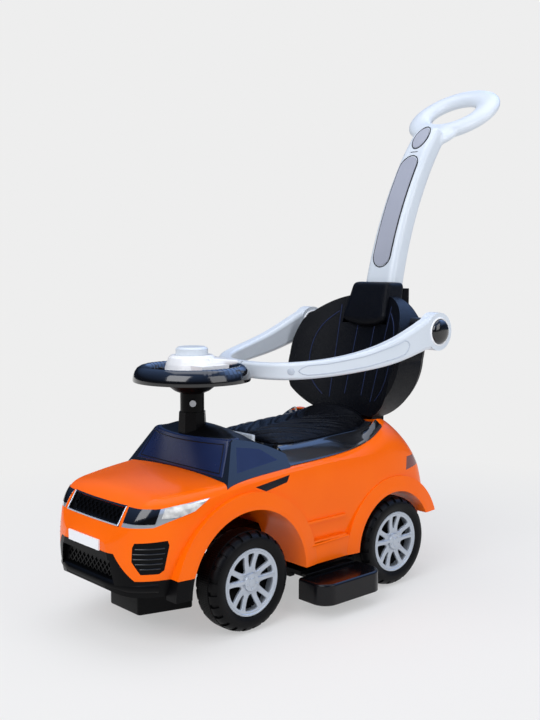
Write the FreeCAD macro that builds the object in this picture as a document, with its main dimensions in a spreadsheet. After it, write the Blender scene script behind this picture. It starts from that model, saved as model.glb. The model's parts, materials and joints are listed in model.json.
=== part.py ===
import FreeCAD, Part
import Sketcher
import math
import os

Vec = FreeCAD.Vector
doc = FreeCAD.newDocument("push_car")

# Driving dimensions in millimetres, front of the car towards -Y, its left side towards +X
SIZES = {
    # Wheels and axles
    "wheel_radius": 75, "tyre_width": 50, "wheel_face": 143, "tread_shoulder": 8, "tyre_cavity": 58,
    "web_thickness": 8, "web_setback": 21, "hub_radius": 14, "hub_setback": 13,
    "lug_count": 24, "lug_gap": 6, "lug_depth": 5, "lug_reach": 11,
    "cap_radius": 50.6, "cap_ring": 5, "cap_setback": 2.5, "spoke_thickness": 4, "spoke_setback": 2,
    "cap_boss_radius": 13, "spoke_count": 5, "window_inner": 18, "window_outer": 44,
    "axle_radius": 4, "running_gap": 0.05, "face_gap": 0.3, "retainer_radius": 8, "retainer_width": 2.6,
    "front_axle_y": -246, "rear_axle_y": 72,
    # Painted body
    "body_half_width": 137, "nose_y": -441, "tail_y": 182, "sill_z": 74, "hood_z": 229, "belt_z": 233,
    "deck_z": 268, "body_wall": 3, "front_arch_radius": 110, "rear_arch_radius": 88, "arch_drop": 3,
    "flare_reach": 26, "flare_lip": 6, "flare_face": 141, "flare_crown": 3, "bumper_top": 140,
    "bumper_side": 104, "bumper_top_half": 68, "bumper_low_half": 96, "strip_front_y": -140,
    "strip_rear_y": -45, "strip_proud": 1.2,
    "bumper_rear_y": -347, "intake_half_width": 62, "intake_low": 92, "intake_high": 130,
    # Front trim
    "grille_low": 177, "grille_high": 204, "grille_half_low": 69, "grille_half_high": 68,
    "grille_border": 2.2, "trim_depth": 6, "mesh_pitch": 11, "mesh_bar": 2.4, "mesh_thickness": 2,
    "mesh_back": 1.4, "mesh_lean": 27, "mesh_setback": 18,
    "intake_setback": 9, "plate_half_width": 40, "plate_low": 140, "plate_high": 155, "plate_thickness": 2.4,
    # Cowl and steering column
    "cowl_front_y": -276, "cowl_rear_y": -152, "cowl_top_z": 279, "cowl_half_low": 122, "cowl_half_high": 95,
    "cowl_wall": 3, "column_radius": 6.5, "sleeve_low_radius": 23.5, "sleeve_high_radius": 21,
    "sleeve_low": 266, "sleeve_high": 313, "collar_radius": 18.5, "collar_high": 341, "dish_radius": 39.5,
    "dish_high": 359, "steer_radius": 91, "steer_tube": 12, "steer_z": 372, "spoke_width": 30,
    "horn_well": 17, "spring_radius": 9, "spring_wall": 2, "horn_cover_radius": 36, "horn_cover_high": 400,
    "horn_radius": 25, "horn_high": 412.5, "screw_radius": 3, "screw_head": 5, "screw_head_height": 3.5,
    "screw_turn": -35,
    # Seat and storage
    "seat_front_y": -150, "seat_rear_y": 90, "seat_half_width": 101, "seat_low": 236, "seat_lid_height": 20,
    "seat_draw_in": 9, "seat_corner_front": 28, "seat_corner_rear": 46, "seat_tilt": 2.4,
    "pad_front_z": 268, "pad_rear_z": 290, "pleat_count": 7, "pleat_radius": 3, "pleat_sweep": -60,
    "tub_half_width": 84, "tub_front_y": -132, "tub_rear_y": 50, "tub_floor": 166, "tub_wall": 2.5,
    "tub_corner_front": 20, "tub_corner_rear": 40,
    "hinge_radius": 2.5, "hinge_y": 95.5, "hinge_z": 262, "knuckle_radius": 6, "knuckle_half_width": 29,
    "hinge_ear": 8, "tab_half_width": 13, "tab_depth": 9, "tab_height": 8,
    # Backrest, headrest and handle
    "back_half_width": 131, "back_low": 280, "back_high": 484, "back_front_y": 52, "back_centre_y": 102,
    "back_split_y": 118, "back_rear_y": 146, "back_wall": 4, "back_round": 26, "back_lean": 0.28,
    "back_drop": 0.15,
    "head_half_low": 53, "head_half_high": 44, "head_low": 432, "head_high": 506, "head_low_y": 134,
    "head_high_y": 158, "head_depth": 48, "head_round": 9, "socket_half_width": 42, "socket_low": 330,
    "socket_high": 494, "socket_rear_y": 221, "post_half_width": 46, "post_front_y": 116, "post_rear_y": 146,
    "handle_half_width": 36, "handle_half_depth": 20, "handle_neck_half_width": 27,
    "handle_neck_half_depth": 17, "ring_half_width": 74, "ring_half_length": 56, "ring_tube": 16,
    "ring_tilt": 35, "panel_half_width": 19, "panel_low": 535, "panel_high": 735, "panel_proud": 1.2,
    "badge_half_width": 15, "badge_half_height": 19, "badge_z": 772,
    # Guard arms
    "arm_pivot_y": 152, "arm_pivot_z": 425, "arm_x": 152, "arm_half_thickness": 11, "arm_hub_radius": 32,
    "arm_end_height": 26, "arm_end_y": -137, "boss_radius": 22, "cap_dome_radius": 21, "cap_dome_height": 9,
    "pivot_radius": 6, "pivot_play": 0.09,
    # Chassis and footrests
    "spine_half_width": 46, "spine_low": 104, "spine_high": 128, "spine_front_y": -382, "spine_rear_y": 160,
    "carrier_half_depth": 15, "carrier_half_height": 13, "carrier_half_length": 90, "boss_outer_radius": 15,
    "bracket_x": 55, "bracket_thickness": 6, "bracket_half_depth": 20, "pan_thickness": 6,
    "pan_half_width": 122,
    "pan_front_y": -130, "pan_rear_y": -10, "foot_front_y": -142, "foot_rear_y": -8, "foot_outer_x": 187,
    "foot_inner_x": 130, "foot_low": 23, "foot_high": 56,
    "foot_round": 24, "tongue_front_y": -112, "tongue_rear_y": -48, "tongue_width": 20, "tongue_drop": 0.6,
    "tongue_thickness": 9, "tongue_inner_x": 47, "guide_wall": 5, "guide_lip": 5, "guide_outer_x": 84,
    "skid_front_y": -376, "skid_rear_y": -292, "skid_half_front": 38, "skid_half_rear": 62, "skid_low": 28,
    "skid_neck_half_width": 30,
}

sheet = doc.addObject("Spreadsheet::Sheet", "sizes")
for row, (alias, number) in enumerate(SIZES.items(), start=1):
    sheet.set("A%d" % row, alias)
    sheet.set("B%d" % row, str(number))
    sheet.setAlias("B%d" % row, alias)
doc.recompute()

SIDES = {"left": 1, "right": -1}
parts = {}


def mm(alias):
    return float(sheet.get(alias))


def value(expression):
    result = sheet.evalExpression(expression)
    return float(getattr(result, "Value", result))


def keep(label, item):
    item.Label = label
    parts[label] = item
    return item


def solid_of(shape):
    clean = shape.removeSplitter()
    return clean.Solids[0] if len(clean.Solids) == 1 else Part.makeCompound(clean.Solids)


def feature(label, shape):
    item = doc.addObject("Part::Feature", label)
    item.Shape = solid_of(shape)
    return keep(label, item)


# Parametric sketches and primitives

def origin_item(body, role):
    return [item for item in body.Origin.OriginFeatures if item.Role == role][0]


def polygon_sketch(body, plane, outlines):
    sketch = body.newObject("Sketcher::SketchObject", "outline")
    sketch.AttachmentSupport = [(origin_item(body, plane), "")]
    sketch.MapMode = "FlatFace"
    for outline in outlines:
        places = [(value(x), value(y)) for x, y in outline]
        first = sketch.GeometryCount
        last = first + len(outline) - 1
        for index, start in enumerate(places):
            end = places[(index + 1) % len(places)]
            sketch.addGeometry(Part.LineSegment(Vec(*start, 0), Vec(*end, 0)))
        for index in range(first, last + 1):
            follower = first if index == last else index + 1
            sketch.addConstraint(Sketcher.Constraint("Coincident", index, 2, follower, 1))
        for index, (expressions, place) in enumerate(zip(outline, places), start=first):
            for kind, expression, number in zip(("DistanceX", "DistanceY"), expressions, place):
                bind_distance(sketch, kind, index, expression, number)
    return sketch


def bind_distance(sketch, kind, index, expression, number):
    if number < 0:
        constraint = Sketcher.Constraint(kind, index, 1, -1, 1, -number)
        expression = "-(%s)" % expression
    else:
        constraint = Sketcher.Constraint(kind, -1, 1, index, 1, number)
    place = sketch.addConstraint(constraint)
    sketch.setExpression("Constraints[%d]" % place, expression)


def revolved_body(label, outline):
    body = doc.addObject("PartDesign::Body", label)
    sketch = polygon_sketch(body, "XY_Plane", [outline])
    turn = body.newObject("PartDesign::Revolution", "turned_form")
    turn.Profile = sketch
    turn.ReferenceAxis = (sketch, ["H_Axis"])
    turn.Angle = 360
    return keep(label, body)


def polar_pockets(body, plane, outlines, depth, count):
    sketch = polygon_sketch(body, plane, outlines)
    doc.recompute()
    pocket = body.newObject("PartDesign::Pocket", "pocket")
    pocket.Profile = sketch
    pocket.Midplane = True
    pocket.setExpression("Length", depth)
    pattern = body.newObject("PartDesign::PolarPattern", "pattern")
    pattern.Originals = [pocket]
    pattern.Axis = (origin_item(body, "X_Axis"), [""])
    pattern.Angle = 360
    pattern.setExpression("Occurrences", count)
    body.Tip = pattern
    doc.recompute()


def place(item, x="0", y="0", z="0", turn=None):
    if turn:
        item.Placement = FreeCAD.Placement(Vec(), turn)
    for axis, expression in zip("xyz", (x, y, z)):
        item.setExpression("Placement.Base." + axis, expression)


def cylinder(label, radius, height, x="0", y="0", z="0", turn=None):
    item = doc.addObject("Part::Cylinder", label)
    item.setExpression("Radius", radius)
    item.setExpression("Height", height)
    place(item, x, y, z, turn)
    return item


def cut(label, base, tool):
    item = doc.addObject("Part::Cut", label)
    item.Base = base
    item.Tool = tool
    return item


def group(label, items):
    item = doc.addObject("Part::Compound", label)
    item.Links = items
    return item


ALONG_X = FreeCAD.Rotation(Vec(0, 1, 0), 90)
HALF_TURN = FreeCAD.Rotation(Vec(0, 0, 1), 180)


# Free forms worked out from the sheet

def prism(points, axis, start, end):
    first = {"x": lambda a, b: Vec(start, a, b), "y": lambda a, b: Vec(a, start, b),
             "z": lambda a, b: Vec(a, b, start)}[axis]
    reach = {"x": Vec(end - start, 0, 0), "y": Vec(0, end - start, 0), "z": Vec(0, 0, end - start)}[axis]
    corners = [first(a, b) for a, b in points]
    return Part.Face(Part.makePolygon(corners + corners[:1])).extrude(reach)


def block(x0, x1, y0, y1, z0, z1):
    return Part.makeBox(x1 - x0, y1 - y0, z1 - z0, Vec(x0, y0, z0))


def rod(radius, start, end):
    line = end - start
    return Part.makeCylinder(radius, line.Length, start, line)


def mirrored(shape):
    return shape.mirror(Vec(), Vec(1, 0, 0))


def arch_section(y, half_width, low_half, low, middle, shoulder_half, shoulder, edge_half, edge, crown):
    low_corner = Vec(low_half, y, low)
    side = Vec(half_width, y, middle)
    shoulder_point = Vec(shoulder_half, y, shoulder)
    edge_point = Vec(edge_half, y, edge)
    bulge = (shoulder_point + edge_point) / 2
    bulge += Vec(0.12 * (edge - shoulder), 0, 0.12 * (shoulder_half - edge_half))
    flip = lambda point: Vec(-point.x, point.y, point.z)
    edges = [Part.LineSegment(flip(low_corner), low_corner), Part.Arc(low_corner, side, shoulder_point),
             Part.Arc(shoulder_point, bulge, edge_point),
             Part.Arc(edge_point, Vec(0, y, crown), flip(edge_point)),
             Part.Arc(flip(edge_point), flip(bulge), flip(shoulder_point)),
             Part.Arc(flip(shoulder_point), flip(side), flip(low_corner))]
    return Part.Wire([edge.toShape() for edge in edges])


# Wheels: a moulded tyre with lugs and a clipped-in cap with split spokes

TYRE_OUTLINE = [
    ("0", "sizes.axle_radius + sizes.running_gap"), ("0", "sizes.hub_radius"),
    ("sizes.tyre_width - sizes.web_setback - sizes.web_thickness", "sizes.hub_radius"),
    ("sizes.tyre_width - sizes.web_setback - sizes.web_thickness", "sizes.tyre_cavity"),
    ("0", "sizes.tyre_cavity"), ("0", "sizes.wheel_radius - sizes.tread_shoulder"),
    ("sizes.tread_shoulder", "sizes.wheel_radius"),
    ("sizes.tyre_width - sizes.tread_shoulder", "sizes.wheel_radius"),
    ("sizes.tyre_width", "sizes.wheel_radius - sizes.tread_shoulder"),
    ("sizes.tyre_width", "sizes.cap_radius + sizes.cap_ring"),
    ("sizes.tyre_width - sizes.cap_setback", "sizes.cap_radius"),
    ("sizes.tyre_width - sizes.web_setback", "sizes.cap_radius"),
    ("sizes.tyre_width - sizes.web_setback", "sizes.hub_radius"),
    ("sizes.tyre_width - sizes.hub_setback", "sizes.hub_radius"),
    ("sizes.tyre_width - sizes.hub_setback", "sizes.axle_radius + sizes.running_gap"),
]
CAP_FACE = "sizes.tyre_width - sizes.cap_setback"
SPOKE_FACE = "sizes.tyre_width - sizes.cap_setback - sizes.spoke_setback"
CAP_OUTLINE = [
    ("sizes.tyre_width - sizes.web_setback", "sizes.cap_radius"), (CAP_FACE, "sizes.cap_radius"),
    (CAP_FACE, "sizes.cap_radius - sizes.cap_ring"), (SPOKE_FACE, "sizes.cap_radius - sizes.cap_ring"),
    (SPOKE_FACE, "sizes.cap_boss_radius"), (CAP_FACE, "sizes.cap_boss_radius - sizes.spoke_setback"),
    (CAP_FACE, "0"),
    (SPOKE_FACE + " - sizes.spoke_thickness", "0"),
    (SPOKE_FACE + " - sizes.spoke_thickness", "sizes.cap_radius - sizes.cap_ring"),
    ("sizes.tyre_width - sizes.web_setback", "sizes.cap_radius - sizes.cap_ring"),
]


def polar(radius, angle):
    return ("%s * cos(%g deg)" % (radius, angle), "%s * sin(%g deg)" % (radius, angle))


def window(centre, inner_half, outer_half):
    inner = "sizes.window_inner"
    outer = "sizes.window_outer"
    return [polar(inner, centre - inner_half), polar(outer, centre - outer_half), polar(outer, centre),
            polar(outer, centre + outer_half), polar(inner, centre + inner_half)]


def lug_notch(start, end):
    low = "sizes.wheel_radius - sizes.lug_depth"
    high = "sizes.wheel_radius + sizes.lug_depth"
    return [(start, low), (end, low), (end, high), (start, high)]


def wheel(name, side, axle_y):
    turn = None if side > 0 else HALF_TURN
    inner_x = "%d * (sizes.wheel_face - sizes.tyre_width)" % side
    tyre = revolved_body("tyre_" + name, TYRE_OUTLINE)
    notches = [lug_notch("-sizes.lug_depth", "sizes.lug_reach"),
               lug_notch("sizes.tyre_width - sizes.lug_reach", "sizes.tyre_width + sizes.lug_depth")]
    polar_pockets(tyre, "XY_Plane", notches, "sizes.lug_gap", "sizes.lug_count")
    place(tyre, inner_x, axle_y, "sizes.wheel_radius", turn)
    cap = revolved_body("wheel_cap_" + name, CAP_OUTLINE)
    windows = [window(0, 4, 14), window(36, 5, 15)]
    polar_pockets(cap, "YZ_Plane", windows, "4 * sizes.tyre_width", "sizes.spoke_count")
    place(cap, inner_x, axle_y, "sizes.wheel_radius", turn)


for end in ("front", "rear"):
    for side_name, side in SIDES.items():
        wheel("%s_%s" % (end, side_name), side, "sizes.%s_axle_y" % end)


def axle(end):
    axle_y = "sizes.%s_axle_y" % end
    half = "(sizes.wheel_face - sizes.hub_setback + sizes.face_gap + sizes.retainer_width)"
    centre = (axle_y, "sizes.wheel_radius", ALONG_X)
    keep(end + "_axle", cylinder(end + "_axle", "sizes.axle_radius", "2 * " + half, "-" + half, *centre))
    rings = []
    for side in SIDES.values():
        start = half + " - sizes.retainer_width" if side > 0 else "-" + half
        outer = cylinder("nut", "sizes.retainer_radius", "sizes.retainer_width", start, *centre)
        hole = cylinder("nut_hole", "sizes.axle_radius", "sizes.retainer_width", start, *centre)
        rings.append(cut("push_nut", outer, hole))
    keep(end + "_axle_push_nuts", group(end + "_axle_push_nuts", rings))


axle("front")
axle("rear")

# Painted body: one lofted form with arch tunnels, hollowed to its wall and opened for trim, cowl and seat

# Each station: y, then offsets from the half width, the sill, the shoulder and the crown line
nose = mm("nose_y")
tail = mm("tail_y")
wide = mm("body_half_width")
sill = mm("sill_z")
hood = mm("hood_z")
belt = mm("belt_z")
deck = mm("deck_z")
wall = mm("body_wall")


def station(y, narrower, raised, crown, edge_in, edge_drop, shoulder_drop, inset, shrink):
    middle_y = (nose + tail) / 2
    half = wide - narrower - inset
    low = sill + raised
    top = crown - inset
    middle = 0.55 * low + 0.45 * top
    section_y = middle_y + (y - middle_y) * shrink
    return arch_section(section_y, half, half - 9, low - 12 * inset, middle, half - 6, top - shoulder_drop,
                        half - edge_in, top - edge_drop, top)


def body_form(inset):
    shrink = 1 - 3.6 * inset / (tail - nose)
    rows = [
        (nose, 78, 14, hood - 72, 10, 4, 10), (nose + 8, 54, 9, hood - 57, 14, 5, 12),
        (nose + 20, 37, 6, hood - 33, 18, 6, 16), (nose + 36, 24, 5, hood - 15, 22, 7, 22),
        (nose + 70, 11, 5, hood - 6, 26, 7, 24), (nose + 120, 3, 3, hood - 2, 26, 6, 20),
        (nose + 190, 0, 0, hood, 20, 4, 11), (nose + 290, 2, 0, belt, 17, 3, 9),
        (nose + 400, 2, 0, belt + 7, 20, 4, 12), (tail - 142, 0, 0, belt + 22, 32, -6, 26),
        (tail - 118, 0, 2, deck - 2, 38, -10, 36), (tail - 92, 1, 5, deck, 42, -6, 42),
        (tail - 67, 4, 9, deck - 6, 44, 2, 42), (tail - 32, 11, 20, deck - 34, 42, 10, 40),
        (tail - 10, 27, 32, deck - 68, 38, 10, 34), (tail, 50, 44, deck - 98, 30, 8, 22),
    ]
    wires = [station(*row, inset, shrink) for row in rows]
    return Part.makeLoft(wires, True, False)


def arch_tunnel(end, grow):
    radius = mm(end + "_arch_radius") + grow
    centre = Vec(0, mm(end + "_axle_y"), mm("wheel_radius") - mm("arch_drop"))
    reach = wide + mm("flare_reach") + 20
    drum = Part.makeCylinder(radius, 2 * reach, centre - Vec(reach, 0, 0), Vec(1, 0, 0))
    skirt = block(-reach, reach, centre.y - radius, centre.y + radius, 0, centre.z)
    return drum.fuse(skirt)


def arch_flare(end, side):
    radius = mm(end + "_arch_radius")
    face = mm("flare_face")
    reach = mm("flare_reach")
    crown = mm("flare_crown")
    centre = Vec(side * (face - reach), mm(end + "_axle_y"), mm("wheel_radius") - mm("arch_drop"))
    ring = Part.makeCylinder(radius + reach, reach - crown, centre, Vec(side, 0, 0))
    crown_start = centre + Vec(side * (reach - crown), 0, 0)
    crown_cone = Part.makeCone(radius + reach, radius + mm("flare_lip"), crown, crown_start, Vec(side, 0, 0))
    ring = ring.fuse(crown_cone)
    low = sill if end == "front" else mm("wheel_radius") + 36
    front_part = block(-2 * wide, 2 * wide, nose, centre.y, sill, deck)
    rear_part = block(-2 * wide, 2 * wide, centre.y, tail, low, deck)
    return ring.common(front_part.fuse(rear_part))


def spine_block(gap):
    half = mm("spine_half_width") + gap
    return block(-half, half, mm("spine_front_y") - gap, mm("spine_rear_y") + gap, mm("spine_low") - gap,
                 mm("spine_high") + gap)


STRIP_HEIGHTS = [(139, 143), (108, 111)]


def door_strips(side):
    face = sorted((side * (wide - 10), side * (wide + mm("strip_proud"))))
    return [block(*face, mm("strip_front_y"), mm("strip_rear_y"), low, high) for low, high in STRIP_HEIGHTS]


outer_form = body_form(0)
for end in ("front", "rear"):
    for side in SIDES.values():
        outer_form = outer_form.fuse(arch_flare(end, side))
for side in SIDES.values():
    outer_form = outer_form.multiFuse(door_strips(side))
tunnels = arch_tunnel("front", 0).fuse(arch_tunnel("rear", 0))
liners = arch_tunnel("front", wall).fuse(arch_tunnel("rear", wall))
core = body_form(wall).cut(liners)
skin = outer_form.cut(tunnels).cut(core)
trim_core = body_form(mm("trim_depth")).cut(liners)
trim_skin = outer_form.cut(tunnels).cut(trim_core)


def corner_prism(points, side):
    slant = math.sqrt(0.5)
    outward = Vec(side * slant, -slant, 0)
    corners = [Vec(side * s * slant, s * slant, z) + outward * 1.5 * wide for s, z in points]
    face = Part.Face(Part.makePolygon(corners + corners[:1]))
    return face.extrude(outward * 2 * wide)


grille_points = [(-mm("grille_half_low"), mm("grille_low")), (mm("grille_half_low"), mm("grille_low")),
                 (mm("grille_half_high"), mm("grille_high")), (-mm("grille_half_high"), mm("grille_high"))]
border = mm("grille_border")
mesh_points = [(-mm("grille_half_low") + border, mm("grille_low") + border),
               (mm("grille_half_low") - border, mm("grille_low") + border),
               (mm("grille_half_high") - border, mm("grille_high") - border),
               (border - mm("grille_half_high"), mm("grille_high") - border)]
grille_hole = prism(grille_points, "y", nose - 10, nose + 60)
grille_open = prism(mesh_points, "y", nose - 10, nose + 60)


def lamp_prism(side):
    high = mm("grille_high")
    low = mm("grille_low")
    inner = (nose + 16 + mm("grille_half_low") + 3) * math.sqrt(0.5)
    outline = [(inner, low + 1), (inner + 9, high - 1), (inner + 55, high - 1), (inner + 118, high + 6),
               (inner + 99, high - 9), (inner + 68, low + 9), (inner + 46, low + 2)]
    return corner_prism(outline, side)


def fog_prism(side):
    low = mm("bumper_side") + 10
    inner = (nose + 16 + mm("grille_half_low") + 24) * math.sqrt(0.5)
    outline = [(inner + 1, low + 18), (inner + 2, low + 38), (inner + 5, low + 44), (inner + 50, low + 46),
               (inner + 52, low + 39), (inner + 45, low + 5), (inner + 38, low), (inner + 13, low)]
    return corner_prism(outline, side)


def tail_prism(side):
    lamp_y = mm("rear_axle_y") + 34
    outline = [(lamp_y, belt - 42), (lamp_y + 44, belt - 38), (lamp_y + 40, belt - 20),
               (lamp_y + 6, belt - 20)]
    return prism(outline, "x", side * 60, side * 2 * wide)


def vent_prism(side):
    vent_y = mm("front_axle_y") + 14
    outline = [(vent_y, belt - 20), (vent_y + 20, belt - 29), (vent_y + 64, belt - 22),
               (vent_y + 71, belt - 12)]
    return prism(outline, "x", side * 120, side * 2 * wide)


def bumper_zone(gap):
    top = mm("bumper_top") + gap
    low = mm("bumper_side") + gap
    top_half = mm("bumper_top_half") + gap
    low_half = mm("bumper_low_half") + gap
    far = 2 * wide
    points = [(-top_half, top), (top_half, top), (low_half, low), (far, low), (far, 0), (-far, 0),
              (-far, low), (-low_half, low)]
    return prism(points, "y", nose - 20, mm("bumper_rear_y") + gap)


inlays = {"headlight_left": [lamp_prism(1)], "headlight_right": [lamp_prism(-1)]}
for label, make_prism in (("fog_vents", fog_prism), ("tail_lamps", tail_prism), ("side_vents", vent_prism)):
    inlays[label] = [make_prism(side) for side in SIDES.values()]


def rounded_outline(half, front, rear, front_corner, rear_corner, z):
    front_inner = front + front_corner
    rear_inner = rear - rear_corner
    turn = math.sqrt(0.5)
    front_half = half - front_corner
    bow = lambda x, y, radius, sx, sy: Vec(x + sx * radius * turn, y + sy * radius * turn, z)
    edges = [
        Part.LineSegment(Vec(-front_half, front, z), Vec(front_half, front, z)),
        Part.Arc(Vec(front_half, front, z), bow(front_half, front_inner, front_corner, 1, -1),
                 Vec(half, front_inner, z)),
        Part.LineSegment(Vec(half, front_inner, z), Vec(half, rear_inner, z)),
        Part.Arc(Vec(half, rear_inner, z), bow(half - rear_corner, rear_inner, rear_corner, 1, 1),
                 Vec(half - rear_corner, rear, z)),
        Part.LineSegment(Vec(half - rear_corner, rear, z), Vec(-half + rear_corner, rear, z)),
        Part.Arc(Vec(-half + rear_corner, rear, z), bow(-half + rear_corner, rear_inner, rear_corner, -1, 1),
                 Vec(-half, rear_inner, z)),
        Part.LineSegment(Vec(-half, rear_inner, z), Vec(-half, front_inner, z)),
        Part.Arc(Vec(-half, front_inner, z), bow(-front_half, front_inner, front_corner, -1, -1),
                 Vec(-front_half, front, z)),
    ]
    return Part.Wire([edge.toShape() for edge in edges])


def tub_block(grow, low, high):
    front = mm("tub_front_y") - grow
    rear = mm("tub_rear_y") + grow
    corners = (mm("tub_corner_front"), mm("tub_corner_rear"))
    outline = rounded_outline(mm("tub_half_width") + grow, front, rear, *corners, low)
    return Part.Face(outline).extrude(Vec(0, 0, high - low))


column_line = Vec(0, mm("front_axle_y"), 0)


def column_hole(radius, low, high):
    return Part.makeCylinder(radius, high - low, column_line + Vec(0, 0, low), Vec(0, 0, 1))


def seat_slab(low, high, inset_low, inset_high):
    half = mm("seat_half_width")
    front = mm("seat_front_y")
    rear = mm("seat_rear_y")
    wires = [rounded_outline(half - inset, front + inset, rear - inset, mm("seat_corner_front") - 0.5 * inset,
                             mm("seat_corner_rear") - inset, z)
             for z, inset in ((low, inset_low), (high, inset_high))]
    slab = Part.makeLoft(wires, True, False)
    slab.rotate(Vec(0, front, mm("seat_low")), Vec(1, 0, 0), mm("seat_tilt"))
    return slab


gap = mm("face_gap")
neck_half = mm("skid_neck_half_width")


def skid_neck(grow):
    front = mm("skid_front_y") + 6 - grow
    rear = mm("skid_rear_y") - 6 + grow
    return block(-neck_half - grow, neck_half + grow, front, rear, sill - 5, mm("spine_low"))


seat_room = seat_slab(mm("seat_low") - gap, mm("seat_low") + 80, -gap, -gap)
hinge_half = mm("knuckle_half_width") + mm("hinge_ear") + 2 * gap
hinge_end = mm("hinge_y") + mm("knuckle_radius") + 1
hinge_notch = block(-hinge_half, hinge_half, mm("seat_rear_y") - 4, hinge_end, mm("seat_low"), deck + 9)
body_openings = [inlay for pair in inlays.values() for inlay in pair]
body_openings += [bumper_zone(gap), grille_hole, skid_neck(gap), spine_block(gap), seat_room, hinge_notch]
body_openings += [tub_block(gap, mm("tub_floor") - 20, deck + 20)]
body_openings += [column_hole(mm("sleeve_low_radius") + gap, sill, deck)]
body_shell = skin.cut(body_openings)


def largest_solid(shape):
    return max(shape.Solids, key=lambda solid: solid.Volume)


feature("body_shell", largest_solid(body_shell))
for label, pair in inlays.items():
    pieces = [largest_solid(trim_skin.common(inlay).cut(grille_hole)) for inlay in pair]
    feature(label, Part.makeCompound(pieces))

# Front bumper with its intake, and the grille set in the nose
bumper = trim_skin.common(bumper_zone(0)).cut([spine_block(gap), skid_neck(gap)])
intake_half = mm("intake_half_width")
intake_points = [(-intake_half, mm("intake_high")), (intake_half, mm("intake_high")),
                 (intake_half + 8, mm("intake_low")), (-intake_half - 8, mm("intake_low"))]
intake_hole = prism(intake_points, "y", nose - 20, nose + 40)
feature("front_bumper", largest_solid(bumper.cut(intake_hole)))
plate_half = mm("plate_half_width")
plate_face = nose - mm("plate_thickness")
feature("number_plate", block(-plate_half, plate_half, plate_face, nose, mm("plate_low"), mm("plate_high")))


def mesh_panel(points, lean_back, foot):
    pitch = mm("mesh_pitch")
    reach = 0.5 * (pitch - mm("mesh_bar"))
    xs = [x for x, z in points]
    zs = [z for x, z in points]
    outline = [Vec(x, 0, z) for x, z in points]
    wires = [Part.makePolygon(outline + outline[:1])]
    for row in range(1, int((max(zs) - min(zs)) / pitch * 2)):
        z = min(zs) + 0.5 * row * pitch
        for column in range(int(min(xs) / pitch), int(max(xs) / pitch) + 1):
            x = column * pitch + (0.5 * pitch if row % 2 else 0)
            inside = min(xs) + pitch < x < max(xs) - pitch and min(zs) + reach < z < max(zs) - reach
            if inside:
                corners = ((-reach, 0), (0, -reach), (reach, 0), (0, reach))
                diamond = [Vec(x + across, 0, z + along) for across, along in corners]
                wires.append(Part.makePolygon(diamond + diamond[:1]))
    panel = Part.makeFace(wires, "Part::FaceMakerBullseye").extrude(Vec(0, mm("mesh_thickness"), 0))
    back = Part.Face(wires[0]).extrude(Vec(0, mm("mesh_back"), 0))
    back.translate(Vec(0, mm("mesh_thickness"), 0))
    panel = panel.fuse(back)
    panel.rotate(Vec(0, 0, min(zs)), Vec(1, 0, 0), -lean_back)
    panel.translate(Vec(0, foot, 0))
    return panel


frame_shape = largest_solid(trim_skin.common(grille_hole).cut(grille_open))
feature("grille_frame", frame_shape)
grille_mesh = mesh_panel(mesh_points, mm("mesh_lean"), nose + mm("mesh_setback"))
feature("grille_mesh", largest_solid(grille_mesh.cut(frame_shape)))
feature("intake_mesh", mesh_panel(intake_points, 0, nose + mm("intake_setback")))

# Cowl with windscreen and quarter windows
cowl_front = mm("cowl_front_y")
cowl_rear = mm("cowl_rear_y")
cowl_top = mm("cowl_top_z")


def cowl_form(inset):
    low = hood - 15
    toe = Vec(0, cowl_front - 8 + inset, low)
    brow = Vec(0, cowl_front + 28 + inset, cowl_top - inset - 2)
    profile = [
        Part.LineSegment(Vec(0, cowl_rear - inset, low), toe),
        Part.LineSegment(toe, brow),
        Part.Arc(brow, Vec(0, cowl_front + 34, cowl_top - inset), Vec(0, cowl_front + 40, cowl_top - inset)),
        Part.Arc(Vec(0, cowl_front + 40, cowl_top - inset), Vec(0, cowl_rear - 44, cowl_top - 10 - inset),
                 Vec(0, cowl_rear - inset, belt + 16 - inset)),
        Part.LineSegment(Vec(0, cowl_rear - inset, belt + 16 - inset), Vec(0, cowl_rear - inset, low)),
    ]
    wire = Part.Wire([edge.toShape() for edge in profile])
    slab = Part.Face(wire).extrude(Vec(2 * wide, 0, 0))
    slab.translate(Vec(-wide, 0, 0))
    lean = (mm("cowl_half_low") - mm("cowl_half_high")) / (cowl_top - hood)
    low_half = mm("cowl_half_low") - inset + lean * (hood - low)
    high_half = mm("cowl_half_high") - inset
    sides = prism([(-low_half, low), (low_half, low), (high_half, cowl_top), (-high_half, cowl_top)], "y",
                  cowl_front - 40, cowl_rear + 20)
    return slab.common(sides)


body_solid = body_form(-gap)
cowl_wall = mm("cowl_wall")
cowl_skin = cowl_form(0).cut(cowl_form(cowl_wall)).cut(body_solid)
screen_low = hood + 6
screen_high = cowl_top - 8
screen = prism([(-mm("cowl_half_low") + 14, screen_low), (mm("cowl_half_low") - 14, screen_low),
                (mm("cowl_half_high") - 8, screen_high), (8 - mm("cowl_half_high"), screen_high)], "y",
               cowl_front - 20, cowl_front + 34)
screen_piece = cowl_skin.common(screen)
cowl = cowl_skin.cut(screen)
panes = []
for side in SIDES.values():
    pane_points = [(cowl_front + 20, belt + 2), (cowl_front + 34, cowl_top - 10),
                   (cowl_rear - 48, cowl_top - 17), (cowl_rear - 20, belt + 10)]
    pane = prism(pane_points, "x", side * 70, side * 2 * wide)
    panes.append(largest_solid(cowl_skin.common(pane)))
    cowl = cowl.cut(pane)
feature("quarter_windows", Part.makeCompound(panes))
sleeve_hole = column_hole(mm("sleeve_low_radius"), hood, deck + 40)
feature("windscreen", largest_solid(screen_piece.cut(sleeve_hole)))
feature("cowl", largest_solid(cowl.cut(sleeve_hole)))


# Steering: a faceted sleeve on the cowl, then the turning column, wheel and horn

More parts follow.
